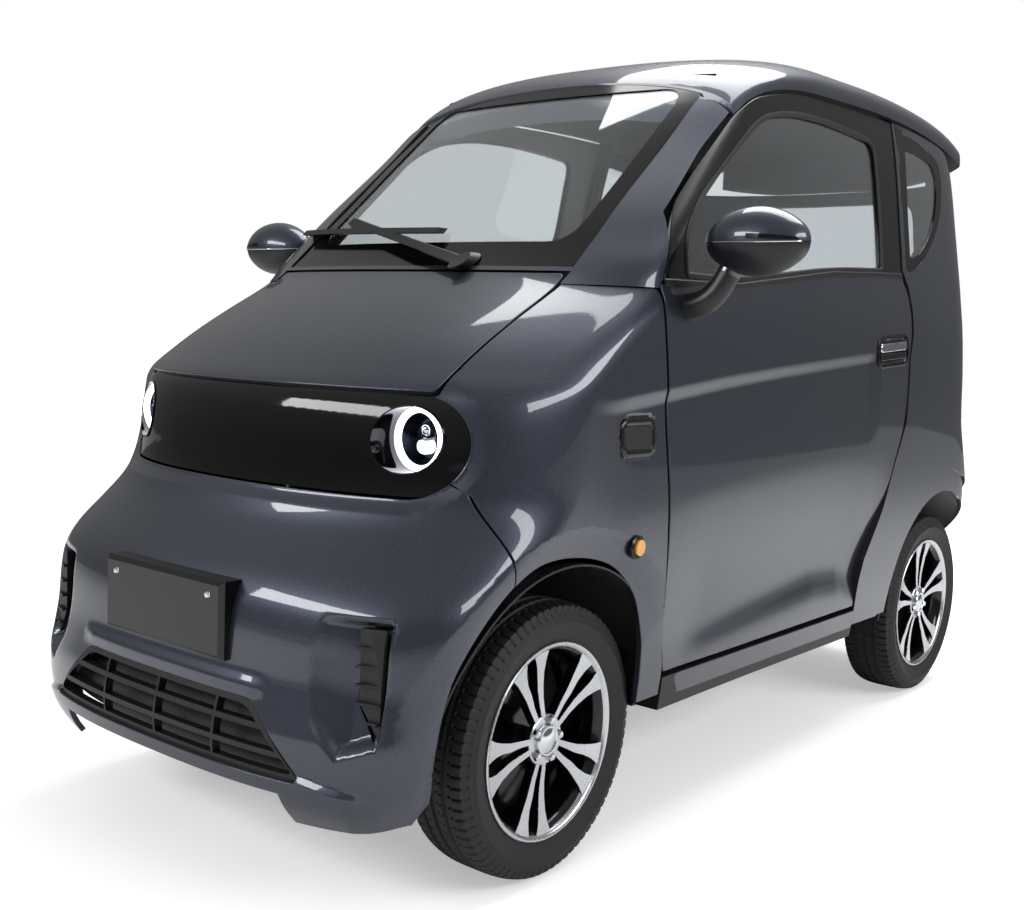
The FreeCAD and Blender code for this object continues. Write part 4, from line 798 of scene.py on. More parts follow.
def turned_form(outline, middle, axis, count=72):
    """A closed outline of (place along the axis, distance from it), carried round the axis in even turns."""
    axis = unit(np.array(axis, float))
    side = unit(np.cross((0, 0, 1), axis))
    high = np.cross(axis, side)
    turn = np.linspace(0, 2 * np.pi, count, endpoint=False)[:, None, None]
    along, far = np.array(outline, float).T
    ring = np.cos(turn) * side + np.sin(turn) * high
    points = np.array(middle) + along[None, :, None] * axis + far[None, :, None] * ring
    return points.reshape(-1, 3), grid_faces(count, len(along)), None


def plate_of(rows):
    """A plate through four matching lines, closed at its ends."""
    lines = np.stack(rows, 1)
    return lines.reshape(-1, 3), grid_faces(*lines.shape[:2], ring=False), None


RIB_GRAIN, POLISH_DRIFT = 2.5, 16.667    # millimetres


def lit_guide(name, code, power):
    """A part that shines: light of one colour over a frosted guide with fine ribs."""
    lit, tree, shader = finish(name, Base_Color=linear("F4F6FA"), Roughness=0.35, Emission_Color=linear(code))
    place = node(tree, "ShaderNodeTexCoord")
    ribs = node(tree, "ShaderNodeTexNoise",
                (("Vector", place.outputs["Object"]), ("Scale", 1000 / RIB_GRAIN)))
    tone = node(tree, "ShaderNodeMapRange", ((0, ribs.outputs["Fac"]), (3, power * 0.75), (4, power * 1.2)))
    tree.links.new(tone.outputs[0], shader.inputs["Emission Strength"])
    return lit


def bright_metal(name, code, rough):
    """Plated or turned metal: bare, with a faint drift of its sheen from polishing."""
    metal, tree, shader = finish(name, Base_Color=linear(code), Metallic=1.0)
    place = node(tree, "ShaderNodeTexCoord")
    drift = node(tree, "ShaderNodeTexNoise", (("Vector", place.outputs["Object"]),
                                              ("Scale", 1000 / POLISH_DRIFT), ("Detail", 4.0)))
    spread = node(tree, "ShaderNodeMapRange", ((0, drift.outputs["Fac"]), (3, rough * 0.7), (4, rough * 1.4)))
    tree.links.new(spread.outputs[0], shader.inputs["Roughness"])
    return metal


# Chrome is a clean mirror, the smoked plate a dim one, and the bowl's coating scatters what it returns.
chrome = bright_metal("bright_chrome_plate", "D8DADF", 0.07)
dark_chrome = bright_metal("smoked_chrome_plate", "5A5D66", 0.16)
bowl_paint = bright_metal("vapour_coated_bowl", "3A3E48", 0.30)
halo = lit_guide("frosted_light_guide", "F2F6FF", 3.2)
lens_glow = lit_guide("lit_lens", "E8EEFF", 1.3)
LAMP_OUT, LAMP_FRONT, LAMP_HIGH, AHEAD = 0.364, -1.009, 0.786, (0, -1, 0)
HOUSING = ((0.003, 0.0578), (0.0005, 0.0550), (-0.001, 0.0545), (-0.002, 0.0455), (-0.014, 0.0430),
           (-0.034, 0.0350), (-0.038, 0.0), (-0.042, 0.0), (-0.058, 0.0565), (-0.006, 0.0578))
GUIDE = ((-0.001, 0.0560), (0.0035, 0.0545), (0.0045, 0.0500), (0.0030, 0.0460), (-0.002, 0.0448),
         (-0.010, 0.0450), (-0.010, 0.0555))
LENS = ((0.000, 0.0), (0.002, 0.008), (-0.001, 0.0125), (-0.006, 0.0140), (-0.020, 0.0140), (-0.020, 0.0))
PROJECTOR = ((0.004, 0.0), (0.002, 0.007), (-0.004, 0.0115), (-0.012, 0.013), (-0.022, 0.013), (-0.022, 0.0))
SHELF_HALF, SHELF_LONG, SHELF_DEEP, SHELF_RISE = 0.036, 0.034, 0.024, 0.006
WALL_OUTER, WALL_INNER, WALL_SUNK = 0.0582, 0.0560, 0.0105
for side, hand in ((1, "left"), (-1, "right")):
    middle = np.array((side * LAMP_OUT, LAMP_FRONT, LAMP_HIGH))
    add_piece("lamp_housing_" + hand, [turned_form(HOUSING, middle, AHEAD)], bowl_paint, "car_body",
              ["headlamps"] if side > 0 else (), sharp=40)
    for name, outline, shift, count, cover in (("ring", GUIDE, (0, 0, 0), 72, halo),
                                               ("lens", LENS, (0.004, 0.004, -0.012), 40, lens_glow),
                                               ("projector", PROJECTOR, (0.003, 0.010, 0.016), 32, chrome)):
        form = turned_form(outline, middle + np.array(shift) * (side, 1, 1), AHEAD, count)
        add_piece("lamp_%s_%s" % (name, hand), [form], cover, "car_body", sharp=50)
    shelf_x = np.linspace(-SHELF_HALF, SHELF_LONG, 17)
    dip = 0.004 - SHELF_RISE * np.cos(shelf_x / SHELF_HALF * np.pi / 2)
    shelf = middle + (0, 0.004, -0.001) + np.stack((shelf_x, np.zeros(17), dip), 1)
    corners = ((0, 0, 0), (0, SHELF_DEEP, 0.002), (0, SHELF_DEEP, 0.006), (0, 0, 0.004))
    add_piece("lamp_shelf_" + hand, [plate_of([shelf + shift for shift in corners])], chrome, "car_body",
              sharp=30)
    turn = np.linspace(0, 2 * np.pi, 73)
    x, z = side * LAMP_OUT + WALL_OUTER * np.cos(turn), LAMP_HIGH + WALL_OUTER * np.sin(turn)
    inner_x, inner_z = side * LAMP_OUT + WALL_INNER * np.cos(turn), LAMP_HIGH + WALL_INNER * np.sin(turn)
    face = np.minimum(lifted(shell, -WALL_SUNK)(front_at(x, z), z)[:, 1], LAMP_FRONT - 0.001)
    back = np.full(73, LAMP_FRONT + 0.002)
    wall = [np.stack(line_of, 1) for line_of in ((x, face, z), (x, back, z), (inner_x, back, inner_z),
                                                 (inner_x, face + 0.0012, inner_z))]
    add_piece("lamp_well_" + hand, [plate_of(wall)], gloss_black, "car_body", sharp=40)


# Plate board and grille backing
# Bright screws hold the plate board; a dark wall closes the space behind the lower grille, as the
# radiator duct does.
SCREW = ((0.004, 0.0), (0.0035, 0.0045), (0.001, 0.0065), (-0.006, 0.0065), (-0.006, 0.0))
SCREW_OUT, SCREW_FRONT, SCREW_HIGH = 0.132, -1.264, 0.516
DUCT = ((-0.400, 0.222, 0.02), (0.400, 0.222, 0.02), (0.300, 0.385, 0.02), (-0.300, 0.385, 0.02))
for side, hand in ((-1, "right"), (1, "left")):
    screw = turned_form(SCREW, (side * SCREW_OUT, SCREW_FRONT, SCREW_HIGH), AHEAD, 24)
    add_piece("plate_screw_" + hand, [screw], chrome, "car_body", sharp=40)
add_piece("grille_duct", [panel(lifted(shell, -0.040), at_front(DUCT), (), (0.03, 0.03), 0.006)],
          black_plastic, "car_body")


# Windscreen
# Laminated glass with a baked-on black border that hides its bead of glue. The border is wider at the
# foot, where the wiper parks.
FILM_PATCH = 111.11    # millimetres


def tinted_glass(name, code):
    """Clear float glass with a body tint, thin enough to see the cabin through; a trace of film on it
    softens the reflection."""
    glass, tree, shader = finish(name, Base_Color=linear(code), Roughness=0.0, IOR=1.45,
                                 Transmission_Weight=1.0)
    place = node(tree, "ShaderNodeTexCoord")
    film = node(tree, "ShaderNodeTexNoise", (("Vector", place.outputs["Object"]),
                                             ("Scale", 1000 / FILM_PATCH), ("Detail", 2.0)))
    haze = node(tree, "ShaderNodeMapRange", ((0, film.outputs["Fac"]), (3, 0.0), (4, 0.03)))
    tree.links.new(haze.outputs[0], shader.inputs["Roughness"])
    return glass


# Both panes are faintly tinted, the side glass the darker; the border is fired enamel with a hard shine.
clear_glass = tinted_glass("windscreen_glass", "E3E8E9")
dark_glass = tinted_glass("privacy_glass", "D6DADD")
ceramic = grained_plastic("baked_black_ceramic", "050506", "08080A", 0.10, 60.0)
PANE = (0.03, 0.03), 0.004, 0.0005    # the steps of a pane's net, its thickness and the radius of its edge
SCREEN_LOW, SCREEN_TOP, SCREEN_EDGE = 1.0985, 1.5405, 0.0025
SCREEN_HALF = ((1.096, 1.541), (0.398, 0.3875))
SCREEN_HOLE = ((-0.350, 1.150, 0.05), (0.350, 1.150, 0.05), (0.352, 1.300), (0.345, 1.505, 0.05),
               (-0.345, 1.505, 0.05), (-0.352, 1.300))
screen_side = np.linspace(SCREEN_LOW, SCREEN_TOP, 40)
screen_half = np.interp(screen_side, *SCREEN_HALF) - SCREEN_EDGE
screen_low = np.linspace(-0.392, 0.392, 60)
screen_outline = divided(np.concatenate((
    on_front(np.stack((screen_low, np.full(60, SCREEN_LOW)), 1)),
    on_front(np.stack((screen_half, screen_side), 1)),
    on_front(np.stack((-screen_half[::-1], screen_side[::-1]), 1)))), 0.012)
screen_hole = at_front(SCREEN_HOLE, step=0.012)
add_piece("windscreen_border", [panel(lifted(shell, -0.003), screen_outline, [screen_hole], (0.014, 0.012),
                                      0.002, 0.0005)], ceramic, "car_body", ["windscreen"])
add_piece("windscreen_pane", [panel(lifted(shell, -0.0056), screen_outline, (), *PANE)],
          clear_glass, "car_body")


# Doors
# Pressed skins on a steel shell, with a black upper frame, a dark pane behind a rubber seal, a pull-out
# handle and a step line that carries on from the wing. The right door is the left one's mirror image.
HOLLOW_DEEP = 0.017
HANDLE_Y, HANDLE_Z, HANDLE_RISE, HANDLE_REACH, HANDLE_HOLLOW = 0.522, 0.956, 0.06, 0.058, 0.008


def door_relief(spot):
    """The lower hollow: under a curved upper edge the skin sinks 17 mm by mid height and comes out again
    towards the sill, which gives the dark field and the pale patch at its foot."""
    x, y, z = np.moveaxis(spot, -1, 0)
    top = np.interp(y, (-0.576, -0.386, -0.158, 0.105, 0.349, 0.452, 0.509, 0.562),
                    (0.650, 0.680, 0.704, 0.723, 0.728, 0.718, 0.683, 0.629))
    foot = np.interp(y, (-0.40, -0.139, 0.014, 0.153, 0.291, 0.398),
                     (0.400, 0.428, 0.441, 0.453, 0.444, 0.408))
    ends = ramp(y, -0.62, -0.32) * ramp(y, 0.66, 0.48)
    return -HOLLOW_DEEP * eased(ramp(z, top, foot)) * (1 - eased(ramp(z, foot, foot - 0.100))) * eased(ends)


def handle_relief(spot):
    """The hollow behind the handle: 8 mm deep with rounded ends."""
    x, y, z = np.moveaxis(spot, -1, 0)
    far = np.hypot(np.maximum(np.abs(y - HANDLE_Y) - HANDLE_REACH, 0),
                   z - HANDLE_Z - HANDLE_RISE * (y - HANDLE_Y))
    return -HANDLE_HOLLOW * ramp(far, 0.034, 0.030)


DOOR_LINE = ((-0.4862, 0.3175, 0.010), (-0.4970, 0.3900), (-0.5080, 0.5880), (-0.5140, 0.7030),
             (-0.5311, 0.8801), (-0.5400, 0.9860), (-0.5450, 1.0419), (-0.5500, 1.0660, 0.008),
             (-0.4700, 1.2120), (-0.3840, 1.2880), (-0.2840, 1.3730), (-0.2010, 1.4420), (-0.1230, 1.4860),
             (-0.0070, 1.5150), (0.1120, 1.5340), (0.3510, 1.5430), (0.6285, 1.5440, 0.010), (0.6162, 1.3818),
             (0.6040, 1.2130), (0.5990, 1.1400), (0.6305, 1.1100), (0.6470, 1.0620), (0.6500, 1.0035),
             (0.6350, 0.9350), (0.6220, 0.7750), (0.5560, 0.6550), (0.5100, 0.5580), (0.4350, 0.4390),
             (0.4080, 0.3915), (0.4010, 0.3400, 0.010), (0.3950, 0.3200, 0.010))


def drawn_in(loop, inset):
    """A closed outline moved inwards by a distance, along the mean of its neighbouring runs' normals."""
    loop = turning(loop, 1)
    along = unit(np.roll(loop, -1, 0) - np.roll(loop, 1, 0))
    return loop + np.stack((-along[:, 1], along[:, 0]), 1) * inset


door_flat = drawn_in(smooth(DOOR_LINE), 0.0045)
BELT = ((-0.60, 1.0710), (-0.46, 1.0735), (-0.253, 1.0780), (0.192, 1.1275), (0.479, 1.1400), (0.70, 1.1480))


def belt_height(y):
    """Height of the belt line, where the painted skin meets the black upper frame."""
    return np.interp(y, *np.array(BELT).T)


def above_belt(loop, over, shift):
    """The part of a loop on one side of the belt line, closed by a line a small shift away from it."""
    start = np.flatnonzero(over & ~np.roll(over, 1))[0]
    kept = np.roll(loop, -start, 0)[np.roll(over, -start)]
    back_along = np.linspace(kept[-1, 0], kept[0, 0], 90)[1:-1]
    return on_side(np.concatenate((kept, np.stack((back_along, belt_height(back_along) + shift), 1))))


upper = door_flat[:, 1] > belt_height(door_flat[:, 0])
lower_door, upper_door = above_belt(door_flat, ~upper, -0.001), above_belt(door_flat, upper, 0.001)
WINDOW = ((-0.4560, 1.0900, 0.010), (-0.4560, 1.1260), (-0.4450, 1.1760), (-0.3840, 1.2460),
          (-0.2680, 1.3310), (-0.1390, 1.4200), (-0.0720, 1.4530), (0.0430, 1.4770), (0.1960, 1.4860),
          (0.3760, 1.4810), (0.4980, 1.4720, 0.040), (0.4960, 1.3000), (0.4790, 1.1520, 0.016),
          (0.1920, 1.1390), (-0.2530, 1.0905))
window_flat = smooth(WINDOW)
door_chart = skin_with(arch_relief, step_relief, door_relief, handle_relief)
# The window frames are satin ABS, smooth enough for a soft highlight; rubber gives none.
frame_black = grained_plastic("satin_black_abs", "050506", "09090B", 0.24, 1.2)
seal_rubber = grained_plastic("black_epdm_rubber", "060606", "0B0B0B", 0.55, 0.8)


def trim(chart, loop, section, closed=True):
    """A strip along a line of a chart: its section is given as places (inwards, outwards) round it."""
    spot, normal = chart(*loop.T), facing(chart, loop)
    if closed:
        along = unit(np.roll(spot, -1, 0) - np.roll(spot, 1, 0))
    else:
        along = unit(np.gradient(spot, axis=0))
    inward = unit(np.cross(normal, along))
    a, b = np.array(section).T
    points = spot[:, None] + inward[:, None] * a[None, :, None] + normal[:, None] * b[None, :, None]
    return points.reshape(-1, 3), grid_faces(len(loop), len(section), ring=closed), None


SEAL = ((-0.003, -0.006), (-0.003, 0.0005), (0.000, 0.0015), (0.006, 0.0010), (0.009, -0.002),
        (0.009, -0.006))
BELT_STRIP = ((-0.006, -0.004), (-0.006, 0.002), (-0.003, 0.004), (0.006, 0.004), (0.009, 0.001),
              (0.009, -0.004))
window_hole, window_pane = on_side(window_flat), on_side(drawn_in(window_flat, -0.002))
window_loop = turning(on_side(drawn_in(window_flat, -0.001)), 1)
belt_y = np.linspace(-0.535, 0.590, 80)
belt_line = on_side(np.stack((belt_y, belt_height(belt_y)), 1))
for hand, side in (("left", 1), ("right", -1)):
    flip = (side, 1)
    body = "door_" + hand
    add_piece("door_skin_" + hand, [panel(door_chart, lower_door * flip, (), (0.014, 0.007), 0.020,
                                          lines=[path * flip for path in waist_lines])], lined_paint, body,
              ["door_" + hand])
    add_piece("door_frame_" + hand, [panel(lifted(shell, -0.001), upper_door * flip, [window_hole * flip],
                                           (0.016, 0.012), 0.020)], frame_black, body)
    add_piece("door_pane_" + hand, [panel(lifted(shell, -0.007), window_pane * flip, (), *PANE)], dark_glass,
              body, ["door_glass_" + hand])
    add_piece("door_seal_" + hand, [trim(shell, turning(window_loop * flip, 1), SEAL)], seal_rubber, body,
              sharp=40)
    add_piece("door_belt_" + hand, [trim(shell, belt_line * flip, BELT_STRIP, False)], seal_rubber, body,
              sharp=40)


# Door handles
# A chromed upper bar on a black grip, hinged in a black bezel that is clipped into the door's hollow over
# a polished black cup.
BEZEL = ((-0.004, -0.003), (-0.004, 0.002), (-0.001, 0.0035), (0.003, 0.003), (0.005, -0.006))
CORNER, HANDLE_STEP = 0.03, 0.004


def handle_line(long, tall, shift=0.0):
    """Rounded outline round the handle's middle, rising a little to the rear as the waist line does."""
    corners = [(-long, -tall, CORNER), (long, -tall, CORNER), (long, tall, CORNER), (-long, tall, CORNER)]
    flat = smooth(corners, step=HANDLE_STEP)
    rise = np.stack((flat[:, 0] * 0, flat[:, 0] * HANDLE_RISE), 1)
    return on_side(flat + (HANDLE_Y, HANDLE_Z + shift) + rise)


for hand, side in (("left", 1), ("right", -1)):
    flip = (side, 1)
    add_piece("handle_bezel_" + hand, [trim(shell, turning(handle_line(0.092, 0.036) * flip, 1), BEZEL)],
              frame_black, "door_" + hand, sharp=40)
    for name, out, long, tall, shift, grid, thick, edge, cover, slot in (
            ("cup", -0.0065, 0.089, 0.033, 0.0, (0.01, 0.01), 0.006, 0.002, gloss_black, "black_plastic"),
            ("bar", 0.0045, 0.080, 0.0115, 0.010, (0.008, 0.006), 0.009, 0.004, chrome, "alloy"),
            ("grip", 0.0035, 0.080, 0.0085, -0.013, (0.008, 0.006), 0.008, 0.003, frame_black,
             "black_plastic")):
        form = panel(lifted(shell, out), handle_line(long, tall, shift) * flip, (), grid, thick, edge)
        add_piece("handle_%s_%s" % (name, hand), [form], cover, "door_" + hand)


# Side markers and the charging flap
# Amber polycarbonate lenses in black rings, pressed into the wings, whose flutes spread their light, and
# the flap of the charging socket in its black plastic frame.
FLUTE, MARKER_Z, MARKER_RADIUS = 8.3333, 0.586, 0.0185    # the flutes' pitch is in millimetres
MARKER_RING = ((-0.004, -0.002), (-0.004, 0.004), (0.0, 0.007), (0.003, 0.005), (0.0035, -0.002))
FLAP_FRAME = ((-0.003, -0.003), (-0.003, 0.0005), (0.0, 0.003), (0.009, 0.003), (0.012, 0.0005),
              (0.012, -0.003))
amber, tree, shader = finish("amber_polycarbonate", Base_Color=linear("E09A18"), Roughness=0.18,
                             Coat_Weight=1.0)
place = node(tree, "ShaderNodeTexCoord")
flutes = node(tree, "ShaderNodeTexWave", (("Vector", place.outputs["Object"]), ("Scale", 1000 / FLUTE)),
              bands_direction="Y")
bump = node(tree, "ShaderNodeBump", (("Height", flutes.outputs["Fac"]), ("Strength", 0.4),
                                     ("Distance", 0.0005)))
tree.links.new(bump.outputs[0], shader.inputs["Normal"])
dress(amber, "side_markers")
turn = np.linspace(0, 2 * np.pi, 48, endpoint=False)
marker_edge = on_side(np.stack((FLAP_Y + MARKER_RADIUS * np.cos(turn),
                                MARKER_Z + MARKER_RADIUS * np.sin(turn)), 1))
for hand, side in (("left", 1), ("right", -1)):
    add_piece("marker_ring_" + hand, [trim(shell, turning(marker_edge * (side, 1), 1), MARKER_RING)],
              frame_black, "car_body", sharp=40)


def flap_edge(long, tall, corner):
    """A rounded rectangle round the charging flap's middle."""
    signs = ((-1, -1), (1, -1), (1, 1), (-1, 1))
    return at_side([(FLAP_Y + a * long, FLAP_Z + b * tall, corner) for a, b in signs], step=0.004)


flap_chart = skin_with(step_relief)
add_piece("charge_flap_frame", [trim(flap_chart, turning(flap_edge(0.056, 0.0335, 0.024), 1), FLAP_FRAME)],
          frame_black, "car_body", sharp=40)
add_piece("charge_flap", [panel(lifted(flap_chart, 0.0020), flap_edge(0.0455, 0.022, 0.014), (),
                                (0.008, 0.008), 0.005)], black_plastic, "car_body")


# Quarter windows
# Fixed panes of dark glass glued behind a black enamel border that follows the door frame and rounds off
# to the rear.
QUARTER_BORDER = ((0.6440, 1.5340, 0.006), (0.7680, 1.5210), (0.8740, 1.4930), (0.9220, 1.4700, 0.02),
                  (0.9280, 1.4180), (0.9070, 1.3430), (0.8460, 1.2570), (0.7480, 1.1890), (0.6720, 1.1530),
                  (0.6120, 1.1480, 0.006), (0.6220, 1.2400), (0.6300, 1.3800))
QUARTER_PANE = ((0.6910, 1.4810, 0.02), (0.8060, 1.4710), (0.8720, 1.4570, 0.02), (0.8900, 1.4140),
                (0.8610, 1.3210), (0.7840, 1.2430), (0.7050, 1.2010), (0.6580, 1.1950, 0.015),
                (0.6700, 1.3400))
for hand, side in (("left", 1), ("right", -1)):
    flip = (side, 1)
    border, pane = at_side(QUARTER_BORDER) * flip, at_side(QUARTER_PANE) * flip
    add_piece("quarter_border_" + hand, [panel(lifted(shell, 0.0015), border, [pane], (0.014, 0.014), 0.003,
                                               0.0008)],
              ceramic, "car_body", ["quarter_glass"] if side > 0 else ())
    add_piece("quarter_pane_" + hand, [panel(lifted(shell, -0.001), drawn_in(pane, -0.004), (), *PANE)],
              dark_glass, "car_body")


# Wheels
# Cast alloy rims lacquered gloss black, then turned on a lathe so that the lip and the faces of five pairs
# of spokes are bare metal, with a plain chromed cap and five nuts. They turn on their hubs.
LATHE_CUTS = 7.1429    # millimetres, drawn coarse enough to show
machined, tree, shader = finish("turned_cast_alloy", Base_Color=linear("C9CBCF"), Metallic=1.0)
place = node(tree, "ShaderNodeTexCoord")
cuts = node(tree, "ShaderNodeTexNoise", (("Vector", place.outputs["Object"]), ("Scale", 1000 / LATHE_CUTS),
                                         ("Detail", 5.0)))
spread = node(tree, "ShaderNodeMapRange", ((0, cuts.outputs["Fac"]), (3, 0.18), (4, 0.34)))
tree.links.new(spread.outputs[0], shader.inputs["Roughness"])
wheel_black = grained_plastic("gloss_black_wheel_lacquer", "060607", "0B0B0D", 0.12, 40.0)
WHEEL_OUT, WHEEL_TURN, REAR_TURN, NUT_OUT = 0.452, 49.5, 20, 0.0360
FACE_THICK, BAR_THICK, BAR_SPREAD = 0.0015, 0.0165, 0.22
SPOKE_PLACES = np.array((0.038, 0.052, 0.075, 0.100, 0.125, 0.145, 0.158, 0.1690))
SPOKE_OFF = np.interp(SPOKE_PLACES, (0.038, 0.100, 0.169), (0.0085, 0.0170, 0.0350))
SPOKE_WIDE = np.interp(SPOKE_PLACES, (0.038, 0.075, 0.125, 0.150, 0.169),
                       (0.010, 0.0125, 0.020, 0.029, 0.047))
SPOKE_FACE = np.interp(SPOKE_PLACES, (0.038, 0.075, 0.125, 0.169), (0.0500, 0.0495, 0.0530, 0.0605))


def spokes(top, deep, grow, first):
    """Ten bars of four-sided section: each runs out from the hub beside its pair's middle line and widens
    towards the lip; top is the depth of its face under the turned plane, deep its thickness."""
    parts = []
    for k in range(5):
        turn = np.radians(first + 72 * k)
        out, over_to = np.array((0, np.sin(turn), np.cos(turn))), np.array((0, np.cos(turn), -np.sin(turn)))
        for hand in (-1, 1):
            middle = SPOKE_PLACES[:, None] * out + (hand * SPOKE_OFF)[:, None] * over_to
            half_wide = (SPOKE_WIDE / 2)[:, None] * over_to
            face = (SPOKE_FACE - top)[:, None] * np.array((1, 0, 0))
            drop = np.array((deep, 0, 0))
            parts.append(plate_of([middle - half_wide + face, middle + half_wide + face,
                                   middle + half_wide * (1 + grow) + face - drop,
                                   middle - half_wide * (1 + grow) + face - drop]))
    return parts


def placed(part, middle, side):
    """A part made at the origin put at its place, mirrored for the right side of the car."""
    points, faces, normals = part
    moved = points * (side, 1, 1) + np.array(middle)
    return moved, [f[:, ::-1] for f in faces] if side < 0 else faces, None


LIP = [(0.0520, 0.1655), (0.0600, 0.1690), (0.0640, 0.1740), (0.0645, 0.1775), (0.0632, 0.1790),
       (0.0575, 0.1790), (0.0565, 0.1700)]
BARREL = [(-0.0645, 0.1740), (-0.0645, 0.1790), (-0.0600, 0.1790), (-0.0565, 0.1677), (-0.0510, 0.1677),
          (-0.0410, 0.1600), (0.0410, 0.1600), (0.0510, 0.1677), (0.0565, 0.1677), (0.0580, 0.1690),
          (0.0560, 0.1650), (0.0410, 0.1550), (-0.0410, 0.1550), (-0.0560, 0.1640)]
WELL = [(-0.012, 0.0), (-0.012, 0.118), (-0.020, 0.1555), (-0.024, 0.1555), (-0.018, 0.100), (-0.018, 0.0)]
HUB = [(0.0400, 0.0), (0.0400, 0.0465), (0.0485, 0.0465), (0.0505, 0.0440), (0.0505, 0.0300),
       (0.0480, 0.0270), (0.0480, 0.0)]
CAP = [(0.0470, 0.0), (0.0470, 0.0285), (0.0560, 0.0285), (0.0580, 0.0268), (0.0580, 0.0235),
       (0.0565, 0.0220), (0.0585, 0.0160), (0.0605, 0.0080), (0.0610, 0.0)]
NUT = [(0.0480, 0.0), (0.0480, 0.0085), (0.0565, 0.0080), (0.0590, 0.0055), (0.0600, 0.0)]
WALL = ((-0.0560, 0.1680), (-0.0725, 0.2150), (-0.0600, 0.2435), (0.0600, 0.2435), (0.0725, 0.2150),
        (0.0560, 0.1680))
WALL_STEPS = (8, 8, 75, 8, 8)
RIDGES = ((0.0012, 0.1860, 0.0022), (0.0010, 0.2280, 0.0018))
BEAD, SHOULDER, TREAD_HALF, CROWN = 0.1680, 0.2435, 0.0600, 0.0062
GROOVES, GROOVE_CUT, SHOULDER_CUT, MIDDLE_CUT = (-0.026, 0.0, 0.026), 0.006, 0.0042, 0.0030
SLOTS, SLOT_SLANT, SLOT_HALF, ROUND_TYRE = 78, 6.0, 0.095, 468


def tyre_tread():
    """A tyre as one closed surface round its axle: the section goes from one bead over the sidewalls and the
    tread, crowned by a fourth power, to the other. Three grooves run along it and slots cross its shoulders
    and ribs at an even pitch; two thin ridges stand on each sidewall."""
    spans = list(zip(WALL[:-1], WALL[1:], WALL_STEPS))
    wide, high = (np.concatenate([np.linspace(a[k], b[k], n)[0 if a is WALL[0] else 1:] for a, b, n in spans])
                  for k in (0, 1))
    tread = (high == SHOULDER) & (np.abs(wide) <= TREAD_HALF)
    high = high + CROWN * (1 - (wide / TREAD_HALF) ** 4) * tread
    ridge = sum(tall * np.exp(-((high - at) / half) ** 2) for tall, at, half in RIDGES)
    wide = wide + np.sign(wide) * ridge * ((high > BEAD) & (high < SHOULDER))
    turn = np.linspace(0, 2 * np.pi, ROUND_TYRE, endpoint=False)[:, None]
    away = np.abs(wide)
    cut = sum(GROOVE_CUT * ramp(np.abs(wide - groove), 0.0042, 0.0030) for groove in GROOVES)
    wave = np.abs((turn / (2 * np.pi) * SLOTS + away[None] * SLOT_SLANT) % 1 - 0.5)
    shoulder = ramp(away, 0.034, 0.036) * (high > 0.2300)
    rib = ramp(away, 0.008, 0.010) * ramp(away, 0.022, 0.020) * (high > SHOULDER)
    slots = ramp(wave, SLOT_HALF, SLOT_HALF - 0.03) * (shoulder * SHOULDER_CUT + rib * MIDDLE_CUT)[None]
    far = high[None] - np.maximum(cut * (away < 0.058), slots)
    points = np.stack((np.broadcast_to(wide, far.shape), far * np.sin(turn), far * np.cos(turn)), -1)
    return points.reshape(-1, 3), grid_faces(ROUND_TYRE, len(wide)), None


TYRE_DUST, TYRE_GRAIN = 28.571, 1.1111    # millimetres
rubber, tree, shader = finish("tyre_rubber", Roughness=0.62)
place = node(tree, "ShaderNodeTexCoord")
dust = node(tree, "ShaderNodeTexNoise", (("Vector", place.outputs["Object"]), ("Scale", 1000 / TYRE_DUST),
                                         ("Detail", 6.0)))
tone = node(tree, "ShaderNodeValToRGB", ((0, dust.outputs["Fac"]),))
tone.color_ramp.elements[0].color = linear("0B0B0C")
tone.color_ramp.elements[1].color = linear("19191A")
tree.links.new(tone.outputs[0], shader.inputs["Base Color"])
fine = node(tree, "ShaderNodeTexNoise", (("Vector", place.outputs["Object"]), ("Scale", 1000 / TYRE_GRAIN),
                                         ("Detail", 2.0)))
bump = node(tree, "ShaderNodeBump", (("Height", fine.outputs["Fac"]), ("Strength", 0.2),
                                     ("Distance", 0.0004)))
tree.links.new(bump.outputs[0], shader.inputs["Normal"])
tyre = tyre_tread()
lip, barrel, well, hub_ring = (turned_form(outline, (0, 0, 0), (1, 0, 0), 96)
                               for outline in (LIP, BARREL, WELL, HUB))
cap = turned_form(CAP, (0, 0, 0), (1, 0, 0), 48)
for (ahead, high), end, first in zip(WHEELS, ("front", "rear"), (WHEEL_TURN, WHEEL_TURN + REAR_TURN)):
    faces = spokes(0.0, FACE_THICK, 0.0, first)
    bodies = spokes(FACE_THICK, BAR_THICK, BAR_SPREAD, first)
    nuts = []
    for turn in np.radians(first + 36 + 72 * np.arange(5)):
        nuts.append(turned_form(NUT, (0, NUT_OUT * np.sin(turn), NUT_OUT * np.cos(turn)), (1, 0, 0), 6))
    for hand, side in (("left", 1), ("right", -1)):
        tag = "%s_%s" % (end, hand)
        for name, parts, cover, slot, old, sharp in (
                ("rim_turned_", [lip, hub_ring] + faces, machined, "alloy", ["rim_" + tag], 35),
                ("rim_black_", [barrel, well] + bodies, wheel_black, "alloy", (), 35),
                ("rim_cap_", [cap] + nuts, chrome, "alloy", (), 35),
                ("tyre_tread_", [tyre], rubber, "tyre", ["tyre_" + tag], 32)):
            add_piece(name + tag, [placed(part, (side * WHEEL_OUT, ahead, high), side) for part in parts],
                      cover, "wheel_" + tag, old, sharp=sharp)


# Mirrors
# A lens-shaped shell in two halves, the upper painted and the lower bare black, on a thick bent arm with
# a plated collar; a dark row of lamps sits in the joint and the glass in the flat back.
POD = np.array((0.670, -0.440, 1.154))
POD_END, POD_FAR, POD_TALL, POD_BACK = 0.045, 0.102, 0.065, 0.036


